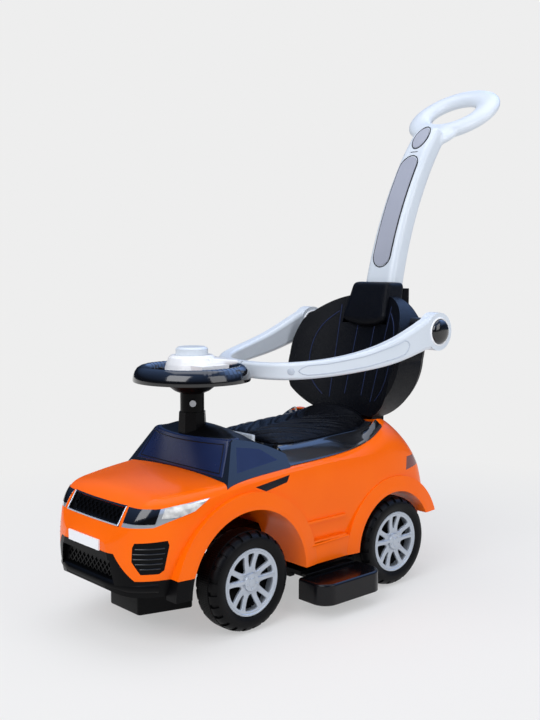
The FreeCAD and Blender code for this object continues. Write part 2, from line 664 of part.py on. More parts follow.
def frustum(sides, low_radius, high_radius, low, high):
    rings = []
    for radius, z in ((low_radius, low), (high_radius, high)):
        turns = [2 * math.pi * (i + 0.5) / sides for i in range(sides)]
        points = [column_line + Vec(radius * math.cos(t), radius * math.sin(t), z) for t in turns]
        rings.append(Part.makePolygon(points + points[:1]))
    return Part.makeLoft(rings, True, True)


sleeve = frustum(8, mm("sleeve_low_radius"), mm("sleeve_high_radius"), mm("sleeve_low"),
                 mm("sleeve_high") - gap)
sleeve = sleeve.fuse(column_hole(mm("sleeve_low_radius") * 0.9, hood, mm("sleeve_low") + 2))
feature("column_sleeve", sleeve.cut(column_hole(mm("column_radius") + mm("running_gap"), 0, deck * 2)))


def turned(points):
    profile = [Vec(radius, 0, z) for radius, z in points]
    face = Part.Face(Part.makePolygon(profile + profile[:1]))
    form = face.revolve(Vec(), Vec(0, 0, 1), 360)
    form.translate(column_line)
    return form


steer_z = mm("steer_z")
column_top = mm("dish_high") + 8
column_low = mm("wheel_radius") - mm("carrier_half_height")
column_rod_shape = column_hole(mm("column_radius"), column_low, column_top)
screw_z = (mm("sleeve_high") + mm("collar_high")) / 2
screw_start = column_line + Vec(0, 0, screw_z)
screw_seat = screw_start + Vec(mm("collar_radius"), 0, 0)
screw_shank = rod(mm("screw_radius"), screw_start - Vec(mm("collar_radius"), 0, 0), screw_seat)
screw_cap = rod(mm("screw_head"), screw_seat, screw_seat + Vec(mm("screw_head_height"), 0, 0))
column_screw_shape = screw_shank.fuse(screw_cap)
column_screw_shape.rotate(screw_start, Vec(0, 0, 1), mm("screw_turn"))
feature("column_screw", column_screw_shape)
dish = turned([(mm("column_radius"), mm("sleeve_high")), (mm("collar_radius"), mm("sleeve_high")),
               (mm("collar_radius"), mm("collar_high")), (mm("dish_radius") - 12, mm("collar_high") + 4),
               (mm("dish_radius") - 3, mm("collar_high") + 11), (mm("dish_radius"), mm("dish_high")),
               (mm("dish_radius"), steer_z + 6), (mm("column_radius"), steer_z + 6)])
feature("steering_hub", dish.cut(column_screw_shape).cut(column_rod_shape))
tube = mm("steer_tube")
ring_radius = mm("steer_radius") - tube
steer_ring = Part.makeTorus(ring_radius, tube, column_line + Vec(0, 0, steer_z), Vec(0, 0, 1))
spokes = []
spoke_half = mm("spoke_width") / 2
for angle in (0, 180, 270):
    arm = block(mm("dish_radius") - 2, ring_radius, -spoke_half, spoke_half, steer_z - 7, steer_z + 6)
    arm.rotate(Vec(), Vec(0, 0, 1), angle)
    arm.translate(column_line)
    spokes.append(arm)
feature("steering_wheel", steer_ring.multiFuse(spokes).cut(column_hole(mm("dish_radius"), 0, 2 * deck)))
cover_low = steer_z + 6
cover_high = mm("horn_cover_high")
cover_radius = mm("horn_cover_radius")
module = turned([(0, cover_low), (cover_radius + 6, cover_low), (cover_radius + 4, cover_low + 8),
                 (cover_radius, cover_high - 4), (cover_radius - 4, cover_high), (0, cover_high)])
wing = block(-12, 58, -26, 26, cover_low, cover_low + 9)
wing.translate(column_line)
well_low = cover_high - mm("horn_well")
well = column_hole(mm("horn_radius") + gap, well_low, deck * 2)
feature("horn_cover", module.fuse(wing).cut(well))
horn_low = cover_high - 5
horn_radius = mm("horn_radius")
horn_high = mm("horn_high")
feature("horn_button", turned([(0, horn_low), (horn_radius, horn_low), (horn_radius, horn_high - 3),
                               (horn_radius - 4, horn_high), (0, horn_high)]))
spring_inner = column_hole(mm("spring_radius") - mm("spring_wall"), 0, deck * 2)
feature("horn_spring", column_hole(mm("spring_radius"), well_low, horn_low - gap).cut(spring_inner))

# Front carrier that turns with the column and holds the front axle
hub_z = mm("wheel_radius")
half_length = mm("carrier_half_length")
half_depth = mm("carrier_half_depth")
half_height = mm("carrier_half_height")
axle_line = Vec(0, mm("front_axle_y"), hub_z)
carrier = block(-half_length, half_length, axle_line.y - half_depth, axle_line.y + half_depth,
                hub_z - half_height, hub_z + half_height)
carrier = carrier.makeFillet(5, carrier.Edges)
carrier = carrier.fuse(column_hole(mm("boss_outer_radius"), hub_z, mm("spine_low") - gap))
axle_hole = rod(mm("axle_radius"), axle_line - Vec(wide, 0, 0), axle_line + Vec(wide, 0, 0))
feature("front_carrier", carrier.cut(axle_hole).cut(column_rod_shape))
feature("column_rod", column_rod_shape.cut([column_screw_shape, axle_hole]))

# Chassis spine, rear axle brackets, footrest guides and front skid
spine = spine_block(0)
long_edges = [edge for edge in spine.Edges if abs(edge.tangentAt(edge.FirstParameter).y) > 0.9]
spine = spine.makeFillet(6, long_edges)
rear_line = Vec(0, mm("rear_axle_y"), hub_z)
for side in SIDES.values():
    near = side * mm("bracket_x")
    far = side * (mm("bracket_x") + mm("bracket_thickness"))
    depth = mm("bracket_half_depth")
    reach_y = (rear_line.y - depth, rear_line.y + depth)
    ear = block(min(near, far), max(near, far), *reach_y, hub_z - 12, mm("spine_high"))
    foot = block(min(0, far), max(0, far), *reach_y, mm("spine_low"), mm("spine_high"))
    spine = spine.fuse(ear).fuse(foot)
rear_hole = rod(mm("axle_radius"), rear_line - Vec(wide, 0, 0), rear_line + Vec(wide, 0, 0))
spine = spine.cut(rear_hole).cut(column_hole(mm("column_radius") + mm("running_gap"), 0, deck))
feature("chassis_spine", spine)
bushes = []
for side in SIDES.values():
    start = rear_line + Vec(side * (mm("bracket_x") + mm("bracket_thickness")), 0, 0)
    end = rear_line + Vec(side * (mm("wheel_face") - mm("tyre_width") - gap), 0, 0)
    bushes.append(rod(mm("axle_radius") + 4, start, end).cut(rear_hole))
feature("rear_axle_bushes", Part.makeCompound(bushes))

tongue_high = mm("foot_high") - mm("tongue_drop")
tongue_low = tongue_high - mm("tongue_thickness")
pan_low = mm("foot_high") + gap
foot_front = mm("foot_front_y")
foot_rear = mm("foot_rear_y")
tongue_width = mm("tongue_width")
tongue_starts = (mm("tongue_front_y"), mm("tongue_rear_y"))
pan_half = mm("pan_half_width")
spine_half = mm("spine_half_width")
pan_front = mm("pan_front_y")
pan_rear = mm("pan_rear_y")
pan = block(-pan_half, pan_half, pan_front, pan_rear, pan_low, pan_low + mm("pan_thickness"))
pan = pan.fuse(block(-spine_half, spine_half, pan_front + 10, pan_rear - 10, pan_low, mm("spine_low")))
for start in tongue_starts:
    outer = mm("guide_outer_x")
    for edge_y, inward in ((start - gap, 1), (start + tongue_width + gap, -1)):
        wall_y = sorted((edge_y, edge_y - inward * mm("guide_wall")))
        lip_y = sorted((edge_y + inward * mm("guide_lip"), edge_y - inward * mm("guide_wall")))
        pan = pan.fuse(block(-outer, outer, wall_y[0], wall_y[1], tongue_low - gap - 4, pan_low))
        pan = pan.fuse(block(-outer, outer, lip_y[0], lip_y[1], tongue_low - gap - 4, tongue_low - gap))
feature("floor_pan", pan)


def footrest(side):
    outer = mm("foot_outer_x")
    inner = mm("foot_inner_x")
    slab = block(inner, outer, foot_front, foot_rear, mm("foot_low"), mm("foot_high"))
    upright = [edge for edge in slab.Edges if abs(edge.tangentAt(edge.FirstParameter).z) > 0.9
               and edge.Vertexes[0].X > inner + 1]
    slab = slab.makeFillet(mm("foot_round"), upright)
    rim = [edge for edge in slab.Edges if min(v.Z for v in edge.Vertexes) > mm("foot_high") - 1
           and max(v.X for v in edge.Vertexes) > inner + 1]
    slab = slab.makeFillet(4, rim)
    hollow = block(inner - 1, outer - 5, foot_front + 12, foot_rear - 12, 0, tongue_low)
    slab = slab.cut(hollow)
    for start in tongue_starts:
        tongue = block(mm("tongue_inner_x"), inner + 3, start, start + tongue_width, tongue_low, tongue_high)
        slab = slab.fuse(tongue)
    return slab if side > 0 else mirrored(slab)


for side_name, side in SIDES.items():
    feature("footrest_" + side_name, footrest(side))

skid_points = [(-mm("skid_half_front"), mm("skid_front_y")), (mm("skid_half_front"), mm("skid_front_y")),
               (mm("skid_half_rear"), mm("skid_rear_y")), (-mm("skid_half_rear"), mm("skid_rear_y"))]
skid = prism(skid_points, "z", mm("skid_low"), sill - 4)
upright_edges = [edge for edge in skid.Edges if abs(edge.tangentAt(edge.FirstParameter).z) > 0.9]
skid = skid.makeFillet(6, upright_edges)
feature("front_skid", skid.fuse(skid_neck(0)))

# Storage tub, and the seat lid that closes it on a rear hinge
tub_top = mm("seat_low") - 3
tub_inside = tub_block(-mm("tub_wall"), mm("tub_floor") + mm("tub_wall"), deck)
feature("storage_tub", tub_block(0, mm("tub_floor"), tub_top).cut(tub_inside))

lid = seat_slab(mm("seat_low"), mm("seat_low") + mm("seat_lid_height"), 0, mm("seat_draw_in"))
lid_under = seat_slab(mm("seat_low") - 5, mm("seat_low") + mm("seat_lid_height") - 3, 4, 10)
hinge_line = Vec(0, mm("hinge_y"), mm("hinge_z"))
knuckle_half = mm("knuckle_half_width")
knuckle_radius = mm("knuckle_radius")
ear_outer = knuckle_half + gap + mm("hinge_ear")


def across(radius, half, line):
    return rod(radius, line - Vec(half, 0, 0), line + Vec(half, 0, 0))


knuckle = across(knuckle_radius, knuckle_half, hinge_line)
leaf = block(-knuckle_half, knuckle_half, mm("seat_rear_y") - 14, mm("hinge_y"),
             mm("hinge_z") - knuckle_radius, mm("hinge_z") + knuckle_radius)
pin_hole = across(mm("hinge_radius") + mm("running_gap"), knuckle_half + 1, hinge_line)
feature("seat_lid", lid.cut(lid_under).fuse(leaf).fuse(knuckle).cut(pin_hole))
hinge_pin = across(mm("hinge_radius"), ear_outer, hinge_line)
feature("seat_hinge_pin", hinge_pin)
shelf_z = mm("seat_low") - 10
bracket_front = mm("seat_rear_y") + 2 * gap
bracket_rear = mm("hinge_y") + knuckle_radius
bracket = block(-ear_outer, ear_outer, mm("tub_rear_y"), bracket_rear, shelf_z, shelf_z + 4)
ear_top = mm("hinge_z") + knuckle_radius
for side in SIDES.values():
    ear_x = sorted((side * (knuckle_half + gap), side * ear_outer))
    bracket = bracket.fuse(block(*ear_x, bracket_front, bracket_rear, shelf_z, ear_top))
feature("seat_hinge_bracket", bracket.cut(hinge_pin))
tab_y = mm("seat_front_y") + mm("seat_draw_in")
tab_z = mm("seat_low") + mm("seat_lid_height") - 3
tab_half = mm("tab_half_width")
tab_front = tab_y - mm("tab_depth")
tab = block(-tab_half, tab_half, tab_front, tab_y + 2, tab_z, tab_z + mm("tab_height"))
tab = tab.makeFillet(2.5, [edge for edge in tab.Edges if edge.BoundBox.YMax < tab_front + 1])
feature("seat_pull_tab", largest_solid(tab.cut(lid)))


def pad_section(y, half, low, crown):
    rise = crown - low
    return arch_section(y, half, half - 2, low, low + 0.25 * rise, half - 2, low + 0.5 * rise, half - 12,
                        low + 0.8 * rise, crown)


def seat_low_at(y):
    climb = math.tan(math.radians(mm("seat_tilt"))) * (y - mm("seat_front_y"))
    return mm("seat_low") + mm("seat_lid_height") + climb


pad_front = mm("seat_front_y") + mm("seat_draw_in") + 3
pad_rear = mm("seat_rear_y") - mm("seat_draw_in") - 5
pad_half = mm("seat_half_width") - mm("seat_draw_in") - 3
pad_rise = (mm("pad_rear_z") - mm("pad_front_z")) / (pad_rear - pad_front)


def crown_at(y, drop):
    return mm("pad_front_z") + pad_rise * (y - pad_front) - drop


pad_rows = [(pad_front, 26, 6), (pad_front + 8, 14, 3), (pad_front + 34, 4, 0), (pad_front + 76, 0, -2),
            (pad_front + 130, 0, -2), (pad_rear - 44, 3, 1), (pad_rear - 16, 12, 6), (pad_rear, 32, 15)]
pad_wires = [pad_section(y, pad_half - narrower, seat_low_at(y) + gap, crown_at(y, drop))
             for y, narrower, drop in pad_rows]
seat_pad = Part.makeLoft(pad_wires, True, False)
pleats = []
for index in range(int(mm("pleat_count"))):
    y = pad_front + 76 + index * (pad_rear - pad_front - 92) / (mm("pleat_count") - 1)
    middle = Vec(0, y, crown_at(y, -4))
    for side in SIDES.values():
        rim = Vec(side * pad_half, y + mm("pleat_sweep"), crown_at(y + mm("pleat_sweep"), 9))
        pleats.append(rod(mm("pleat_radius"), middle, rim))
feature("seat_pad", largest_solid(seat_pad.cut(pleats)))

# Backrest shells, post, headrest and the push handle in its socket
back_half = mm("back_half_width")
back_low = mm("back_low")
back_high = mm("back_high")
back_middle = 0.5 * (back_low + back_high)


def leaned(y, z):
    return y + mm("back_lean") * (z - back_low)


def back_outline(y, inset):
    foot_half = 0.45 * back_half
    top_half = 0.27 * back_half
    low = back_low + inset - mm("back_drop") * (y - mm("back_front_y"))
    high = back_high - inset
    half = back_half - inset
    flip = lambda point: Vec(-point.x, point.y, point.z)
    spot = lambda x, z: Vec(x, leaned(y, z), z)
    low_corner = spot(foot_half, low)
    side = spot(half, back_middle - 8)
    high_corner = spot(top_half, high)
    low_bow = spot(0.85 * half, low + 0.15 * (high - low))
    high_bow = spot(0.84 * half, high - 0.19 * (high - low))
    edges = [Part.LineSegment(flip(low_corner), low_corner), Part.Arc(low_corner, low_bow, side),
             Part.Arc(side, high_bow, high_corner), Part.LineSegment(high_corner, flip(high_corner)),
             Part.Arc(flip(high_corner), flip(high_bow), flip(side)),
             Part.Arc(flip(side), flip(low_bow), flip(low_corner))]
    return Part.Wire([edge.toShape() for edge in edges])


def back_form(inset):
    front = mm("back_front_y") + inset
    rear = mm("back_rear_y") - inset
    rounding = mm("back_round")
    rows = [(front, 6), (front + 8, 0), (rear - rounding, 2), (rear - 8, 12), (rear, rounding)]
    wires = [back_outline(y, inset + shrink) for y, shrink in rows]
    return Part.makeLoft(wires, True, True)


wing_depth = mm("back_centre_y") - mm("back_front_y")
bucket_half = back_half - 12
bucket_radius = (bucket_half ** 2 + wing_depth ** 2) / (2 * wing_depth)


def bucket(grow):
    centre = Vec(0, leaned(mm("back_centre_y") - bucket_radius, 0), 0)
    return Part.makeCylinder(bucket_radius + grow, 3 * deck, centre, Vec(0, mm("back_lean"), 1))


def head_form(grow):
    wires = []
    for end, reach in (("low", -grow), ("high", grow)):
        half = mm("head_half_" + end) + grow
        front = mm("head_%s_y" % end) - grow
        rear = mm("head_%s_y" % end) + mm("head_depth") + grow
        z = mm("head_" + end) + reach
        corners = [Vec(-half, front, z), Vec(half, front, z), Vec(half, rear, z), Vec(-half, rear, z)]
        wires.append(Part.makePolygon(corners + corners[:1]))
    return Part.makeLoft(wires, True, True)


headrest = head_form(0)
headrest = headrest.makeFillet(mm("head_round"), headrest.Edges)
head_room = head_form(gap)

HANDLE_PATH = [(182, 400), (188, 460), (204, 535), (232, 620), (272, 704), (314, 768), (344, 800)]


def handle_sections(grow):
    wires = []
    count = len(HANDLE_PATH)
    for index, (y, z) in enumerate(HANDLE_PATH):
        before = HANDLE_PATH[max(index - 1, 0)]
        after = HANDLE_PATH[min(index + 1, count - 1)]
        along = Vec(0, after[0] - before[0], after[1] - before[1]).normalize()
        across = Vec(1, 0, 0)
        depth_way = along.cross(across)
        share = index / (count - 1)
        half = (1 - share) * mm("handle_half_width") + share * mm("handle_neck_half_width")
        depth = (1 - share) * mm("handle_half_depth") + share * mm("handle_neck_half_depth")
        wires.append(oval_section(Vec(0, y, z), across * half, depth_way * (depth + grow)))
    return wires


def oval_section(centre, wide_way, deep_way):
    corner = 0.55
    spot = lambda a, b: centre + wide_way * a + deep_way * b
    bow = corner + (1 - corner) * math.sqrt(0.5)
    edges = []
    for sx, sy in ((1, 1), (-1, 1), (-1, -1), (1, -1)):
        start = spot(sx, sy * corner) if sx * sy > 0 else spot(sx * corner, sy)
        end = spot(sx * corner, sy) if sx * sy > 0 else spot(sx, sy * corner)
        edges.append(Part.Arc(start, spot(sx * bow, sy * bow), end))
    sides = [Part.LineSegment(edges[i].EndPoint, edges[(i + 1) % 4].StartPoint) for i in range(4)]
    ordered = [edge for pair in zip(edges, sides) for edge in pair]
    return Part.Wire([edge.toShape() for edge in ordered])


stem = Part.makeLoft(handle_sections(0), True, False)
tilt = math.radians(mm("ring_tilt"))
ring_way = Vec(0, math.cos(tilt), math.sin(tilt))
ring_up = Vec(0, -math.sin(tilt), math.cos(tilt))
neck_y, neck_z = HANDLE_PATH[-1]
ring_centre = Vec(0, neck_y, neck_z) + ring_way * mm("ring_half_length")
ring_side = ring_centre + Vec(mm("ring_half_width"), 0, 0)
ring_path = Part.Ellipse(ring_side, ring_centre + ring_way * mm("ring_half_length"), ring_centre)
ring_section = Part.Wire([Part.Circle(ring_side, ring_way, mm("ring_tube")).toShape()])
grip = Part.Wire([ring_path.toShape()]).makePipeShell([ring_section], True, False)
handle = stem.fuse(grip)
feature("push_handle", largest_solid(handle))

# Inlaid panel and bare oval badge on the front of the handle
handle_seat = Part.makeLoft(handle_sections(gap), True, False)
handle_face = Part.makeLoft(handle_sections(mm("panel_proud")), True, False).cut(handle_seat)


def capsule(half, low, high):
    edges = [Part.LineSegment(Vec(half, 0, low + half), Vec(half, 0, high - half)),
             Part.Arc(Vec(half, 0, high - half), Vec(0, 0, high), Vec(-half, 0, high - half)),
             Part.LineSegment(Vec(-half, 0, high - half), Vec(-half, 0, low + half)),
             Part.Arc(Vec(-half, 0, low + half), Vec(0, 0, low), Vec(half, 0, low + half))]
    return Part.Face(Part.Wire([edge.toShape() for edge in edges]))


def front_most(shape):
    return min(shape.Solids, key=lambda solid: solid.CenterOfMass.y)


panel_prism = capsule(mm("panel_half_width"), mm("panel_low"), mm("panel_high")).extrude(Vec(0, 2 * deck, 0))
feature("handle_panel", front_most(handle_face.common(panel_prism)))
badge_centre = Vec(0, 0, mm("badge_z"))
badge_ellipse = Part.Ellipse(badge_centre + Vec(0, 0, mm("badge_half_height")),
                             badge_centre + Vec(mm("badge_half_width"), 0, 0), badge_centre)
badge_prism = Part.Face(Part.Wire([badge_ellipse.toShape()])).extrude(Vec(0, 2 * deck, 0))
feature("handle_badge", front_most(handle_face.common(badge_prism)))

socket_half = mm("socket_half_width")
socket_low = mm("socket_low")
socket_high = mm("socket_high")
socket_rear = mm("socket_rear_y")
socket_front = leaned(mm("back_rear_y"), socket_low) - 24
socket = prism([(socket_front, socket_low), (socket_front + 20, socket_low), (socket_rear, socket_low + 96),
                (socket_rear, socket_high), (socket_front, socket_high)], "x", -socket_half, socket_half)
socket_edges = [edge for edge in socket.Edges if edge.BoundBox.XLength < 1]
socket = socket.makeFillet(8, [edge for edge in socket_edges if edge.BoundBox.YMin > socket_front + 10])
split_y = mm("back_split_y")
split = prism([(0, 0), (leaned(split_y, 0), 0), (leaned(split_y, 4 * deck), 4 * deck), (0, 4 * deck)], "x",
              -2 * wide, 2 * wide)
back_skin = back_form(0).cut(bucket(0)).cut(back_form(mm("back_wall")).cut(bucket(mm("back_wall"))))
front_shell = back_skin.common(split).cut(head_room)
rear_shell = back_skin.cut(split).fuse(socket.cut(split)).cut(head_room)
feature("backrest_front", largest_solid(front_shell))
feature("backrest_rear", largest_solid(rear_shell.cut(stem)))
feature("headrest", headrest.cut(stem))
post_half = mm("post_half_width")
post = block(-post_half, post_half, mm("post_front_y"), mm("post_rear_y"), deck - 30, back_low + 12)
feature("backrest_post", largest_solid(post.cut(body_form(0)).cut(back_form(0))))


# Guard arms on their pivots
pivot = Vec(0, mm("arm_pivot_y"), mm("arm_pivot_z"))


def guard_arm():
    arm_x = mm("arm_x")
    thick = mm("arm_half_thickness")
    end_y = mm("arm_end_y")
    end_high = mm("arm_end_height")
    rows = [
        (arm_x, pivot.y, pivot.z, 60, 0), (arm_x, pivot.y - 48, pivot.z - 10, 48, 0),
        (arm_x - 4, pivot.y - 100, pivot.z - 27, 40, 6), (arm_x - 14, pivot.y - 160, pivot.z - 40, 32, 14),
        (arm_x - 36, pivot.y - 222, pivot.z - 49, 28, 30), (arm_x - 76, end_y + 20, pivot.z - 54, 27, 58),
        (arm_x - 118, end_y + 3, pivot.z - 55, end_high, 78), (2, end_y, pivot.z - 55, end_high, 90),
    ]
    wires = []
    for x, y, z, height, turn in rows:
        across = Vec(math.cos(math.radians(turn)), -math.sin(math.radians(turn)), 0)
        wires.append(oval_section(Vec(x, y, z), across * thick, Vec(0, 0, height / 2)))
    arm = Part.makeLoft(wires, True, False)
    disc = rod(mm("arm_hub_radius"), pivot + Vec(arm_x - thick, 0, 0), pivot + Vec(arm_x + thick, 0, 0))
    outside = block(arm_x + thick, 2 * wide, -2 * wide, 2 * wide, 0, 4 * deck)
    return arm.fuse(disc).cut(outside)


arm_shape = guard_arm()
pivot_far = mm("arm_x") + mm("arm_half_thickness")
pivot_hole = rod(mm("pivot_radius") + mm("pivot_play"), pivot, pivot + Vec(2 * wide, 0, 0))
boss_end = mm("arm_x") - mm("arm_half_thickness") - gap
boss_room = rod(mm("boss_radius") + gap, pivot, pivot + Vec(boss_end + gap, 0, 0))
arm_shape = arm_shape.cut([pivot_hole, boss_room])
dome_height = mm("cap_dome_height")
dome = rod(mm("cap_dome_radius"), pivot + Vec(pivot_far, 0, 0), pivot + Vec(pivot_far + dome_height, 0, 0))
dome = dome.makeFillet(dome_height - 1, [edge for edge in dome.Edges if edge.BoundBox.XMin > pivot_far + 1])
boss_start = back_half - 30
boss = rod(mm("boss_radius"), pivot + Vec(boss_start, 0, 0), pivot + Vec(boss_end, 0, 0)).cut(back_form(0))
pin = rod(mm("pivot_radius"), pivot + Vec(boss_end - 1, 0, 0), pivot + Vec(pivot_far - gap, 0, 0))
boss = largest_solid(boss.fuse(pin))
for side_name, side in SIDES.items():
    pick = (lambda shape: shape) if side > 0 else mirrored
    feature("guard_arm_" + side_name, pick(arm_shape))
    feature("guard_cap_" + side_name, pick(dome))
feature("arm_pivots", Part.makeCompound([boss, mirrored(boss)]))

doc.recompute()
faults = [item.Label for item in doc.Objects if {"Invalid", "Error"} & set(item.State)]
faults += [label for label, item in parts.items() if item.Shape.isNull() or not item.Shape.isValid()]
if faults:
    raise RuntimeError("these pieces failed: " + ", ".join(faults))
os.makedirs("parts", exist_ok=True)
for label, item in parts.items():
    item.Shape.exportStep("parts/%s.step" % label)
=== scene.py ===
import json
import math

import bpy
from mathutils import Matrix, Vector
from mathutils.bvhtree import BVHTree

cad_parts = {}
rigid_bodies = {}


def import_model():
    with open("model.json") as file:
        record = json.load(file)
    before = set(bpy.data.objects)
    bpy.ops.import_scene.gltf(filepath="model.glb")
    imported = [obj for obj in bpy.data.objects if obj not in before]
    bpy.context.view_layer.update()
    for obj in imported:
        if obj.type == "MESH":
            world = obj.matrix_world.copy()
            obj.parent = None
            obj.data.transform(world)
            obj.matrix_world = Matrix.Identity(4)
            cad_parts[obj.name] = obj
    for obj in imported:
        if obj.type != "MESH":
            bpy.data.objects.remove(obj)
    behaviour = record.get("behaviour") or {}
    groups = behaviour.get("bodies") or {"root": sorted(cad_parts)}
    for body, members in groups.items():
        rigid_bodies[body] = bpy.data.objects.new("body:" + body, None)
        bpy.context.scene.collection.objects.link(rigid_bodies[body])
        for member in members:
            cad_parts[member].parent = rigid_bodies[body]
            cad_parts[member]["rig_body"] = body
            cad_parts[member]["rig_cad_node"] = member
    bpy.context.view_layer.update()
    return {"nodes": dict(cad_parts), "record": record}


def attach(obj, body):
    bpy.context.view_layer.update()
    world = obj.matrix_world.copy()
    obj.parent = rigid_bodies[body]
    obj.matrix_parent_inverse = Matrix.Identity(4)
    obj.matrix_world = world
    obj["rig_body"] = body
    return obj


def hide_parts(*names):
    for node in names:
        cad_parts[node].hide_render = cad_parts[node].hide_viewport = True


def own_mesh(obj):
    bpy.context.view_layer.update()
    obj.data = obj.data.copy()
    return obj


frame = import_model()
NODES = frame["nodes"]
SIDES = {"left": 1, "right": -1}
AXLES = {"front": -0.246, "rear": 0.072}


# Camera at the photograph's viewing angle

CAMERA_PLACE = Vector((1.1974, -1.1635, 0.5410))
CAMERA_BACK = Vector((0.73923, -0.66615, 0.09885))
LENS = 49.185
SENSOR_WIDTH = 36

camera = bpy.data.objects.new("camera", bpy.data.cameras.new("camera"))
bpy.context.scene.collection.objects.link(camera)
camera.data.lens = LENS
camera.data.sensor_width = SENSOR_WIDTH
camera.location = CAMERA_PLACE
camera.rotation_mode = "QUATERNION"
camera.rotation_quaternion = (-CAMERA_BACK).to_track_quat("-Z", "Y")
bpy.context.scene.camera = camera
bpy.context.scene.view_settings.view_transform = "Standard"


# Shared surface effects

GRAIN_SCALE, GRAIN_DETAIL, GRAIN_HEIGHT = 900, 3, 0.00002
CLOUD_SCALE, CLOUD_DETAIL = 14, 4
PEBBLE_SCALE, PEBBLE_EDGE, PEBBLE_HEIGHT = 320, 0.18, 0.0002


def linear(red, green, blue):
    parts = [number / 255 for number in (red, green, blue)]
    return [part / 12.92 if part < 0.04045 else ((part + 0.055) / 1.055) ** 2.4 for part in parts] + [1]


def map_range(tree, value, source, target):
    node = tree.nodes.new("ShaderNodeMapRange")
    for label, (least, most) in (("From", source), ("To", target)):
        node.inputs[label + " Min"].default_value = least
        node.inputs[label + " Max"].default_value = most
    tree.links.new(value, node.inputs["Value"])
    return node.outputs["Result"]


def effect_group(name, inputs, outputs):
    group = bpy.data.node_groups.new(name, "ShaderNodeTree")
    for label, number in inputs.items():
        socket = group.interface.new_socket(label, in_out="INPUT", socket_type="NodeSocketFloat")
        socket.default_value = number
    for label in outputs:
        group.interface.new_socket(label, in_out="OUTPUT", socket_type="NodeSocketFloat")
    return group, group.nodes.new("NodeGroupInput"), group.nodes.new("NodeGroupOutput")


def noise(tree, scale, detail):
    place = tree.nodes.new("ShaderNodeTexCoord")
    texture = tree.nodes.new("ShaderNodeTexNoise")
    texture.inputs["Detail"].default_value = detail
    tree.links.new(place.outputs["Object"], texture.inputs["Vector"])
    tree.links.new(scale, texture.inputs["Scale"])
    return texture.outputs["Fac"]


def make_moulding_group():
    scales = {"Grain Scale": GRAIN_SCALE, "Cloud Scale": CLOUD_SCALE}
    group, entry, leave = effect_group("moulding", scales, ["Grain", "Cloud"])
    for label, detail in (("Grain", GRAIN_DETAIL), ("Cloud", CLOUD_DETAIL)):
        group.links.new(noise(group, entry.outputs[label + " Scale"], detail), leave.inputs[label])
    return group


def make_leather_group():
    group, entry, leave = effect_group("leather", {"Pebble Scale": PEBBLE_SCALE}, ["Height"])
    place = group.nodes.new("ShaderNodeTexCoord")
    pebble = group.nodes.new("ShaderNodeTexVoronoi")
    pebble.feature = "DISTANCE_TO_EDGE"
    group.links.new(place.outputs["Object"], pebble.inputs["Vector"])
    group.links.new(entry.outputs["Pebble Scale"], pebble.inputs["Scale"])
    height = map_range(group, pebble.outputs["Distance"], (0, PEBBLE_EDGE), (0, 1))
    group.links.new(height, leave.inputs["Height"])
    return group


MOULDING = make_moulding_group()
LEATHER = make_leather_group()


# Materials: each plastic has a tone and a gloss that drift together, and a moulded grain

def plastic(name, deep, light, roughness, drift=0.05, grain=GRAIN_SCALE, grain_height=GRAIN_HEIGHT,
            cloud=CLOUD_SCALE, specular=0.5, **settings):
    material = bpy.data.materials.new(name)
    material.use_nodes = True
    tree = material.node_tree
    shader = tree.nodes["Principled BSDF"]
    shader.inputs["Specular IOR Level"].default_value = specular
    for label, number in settings.items():
        shader.inputs[label.replace("_", " ").title()].default_value = number
    moulding = tree.nodes.new("ShaderNodeGroup")
    moulding.node_tree = MOULDING
    moulding.inputs["Grain Scale"].default_value = grain
    moulding.inputs["Cloud Scale"].default_value = cloud
    tone = tree.nodes.new("ShaderNodeMix")
    tone.data_type = "RGBA"
    tone.inputs["A"].default_value = linear(*deep)
    tone.inputs["B"].default_value = linear(*light)
    gloss = map_range(tree, moulding.outputs["Cloud"], (0, 1), (roughness - drift, roughness + drift))
    bump = tree.nodes.new("ShaderNodeBump")
    bump.inputs["Distance"].default_value = grain_height
    tree.links.new(moulding.outputs["Cloud"], tone.inputs["Factor"])
    tree.links.new(moulding.outputs["Grain"], bump.inputs["Height"])
    tree.links.new(tone.outputs["Result"], shader.inputs["Base Color"])
    tree.links.new(gloss, shader.inputs["Roughness"])
    tree.links.new(bump.outputs["Normal"], shader.inputs["Normal"])
    return material


def leather(name, deep, light, roughness, specular):
    material = plastic(name, deep, light, roughness, drift=0.06, grain_height=PEBBLE_HEIGHT,
                       specular=specular)
    tree = material.node_tree
    pebbles = tree.nodes.new("ShaderNodeGroup")
    pebbles.node_tree = LEATHER
    bump = [node for node in tree.nodes if node.type == "BUMP"][0]
    tree.links.new(pebbles.outputs["Height"], bump.inputs["Height"])
    return material


# Scale of the clear lens's facet patches, which carry painted glints
LAMP_GLINT_PATCHES = 95
ORANGE = plastic("orange_paint", (244, 97, 2), (251, 109, 6), 0.24, specular=0.13,
                 coat_weight=0.08, coat_roughness=0.05)
GLOSS_BLACK = plastic("gloss_black", (7, 7, 9), (12, 13, 16), 0.13, grain=500, coat_weight=0.5)
MATT_BLACK = plastic("matt_black", (5, 5, 6), (10, 10, 12), 0.34, grain=1400,
                     grain_height=0.00008, specular=0.09)
SHELL_BLACK = plastic("shell_black", (6, 6, 9), (11, 11, 15), 0.46, grain=1400,
                      grain_height=0.00008, specular=0.05)
FOOT_BLACK = plastic("foot_black", (6, 6, 9), (11, 11, 15), 0.2, grain=500, specular=0.26)
TYRE_BLACK = plastic("tyre_black", (5, 5, 6), (11, 11, 13), 0.42, grain=700,
                     grain_height=0.00012, specular=0.13)
LINE_BLACK = plastic("line_black", (6, 6, 8), (12, 12, 15), 0.5, specular=0.2)
SEAT_BLACK = leather("seat_black", (6, 7, 11), (11, 13, 19), 0.34, 0.11)
PAD_BLACK = leather("pad_black", (3, 3, 6), (6, 7, 11), 0.28, 0.08)
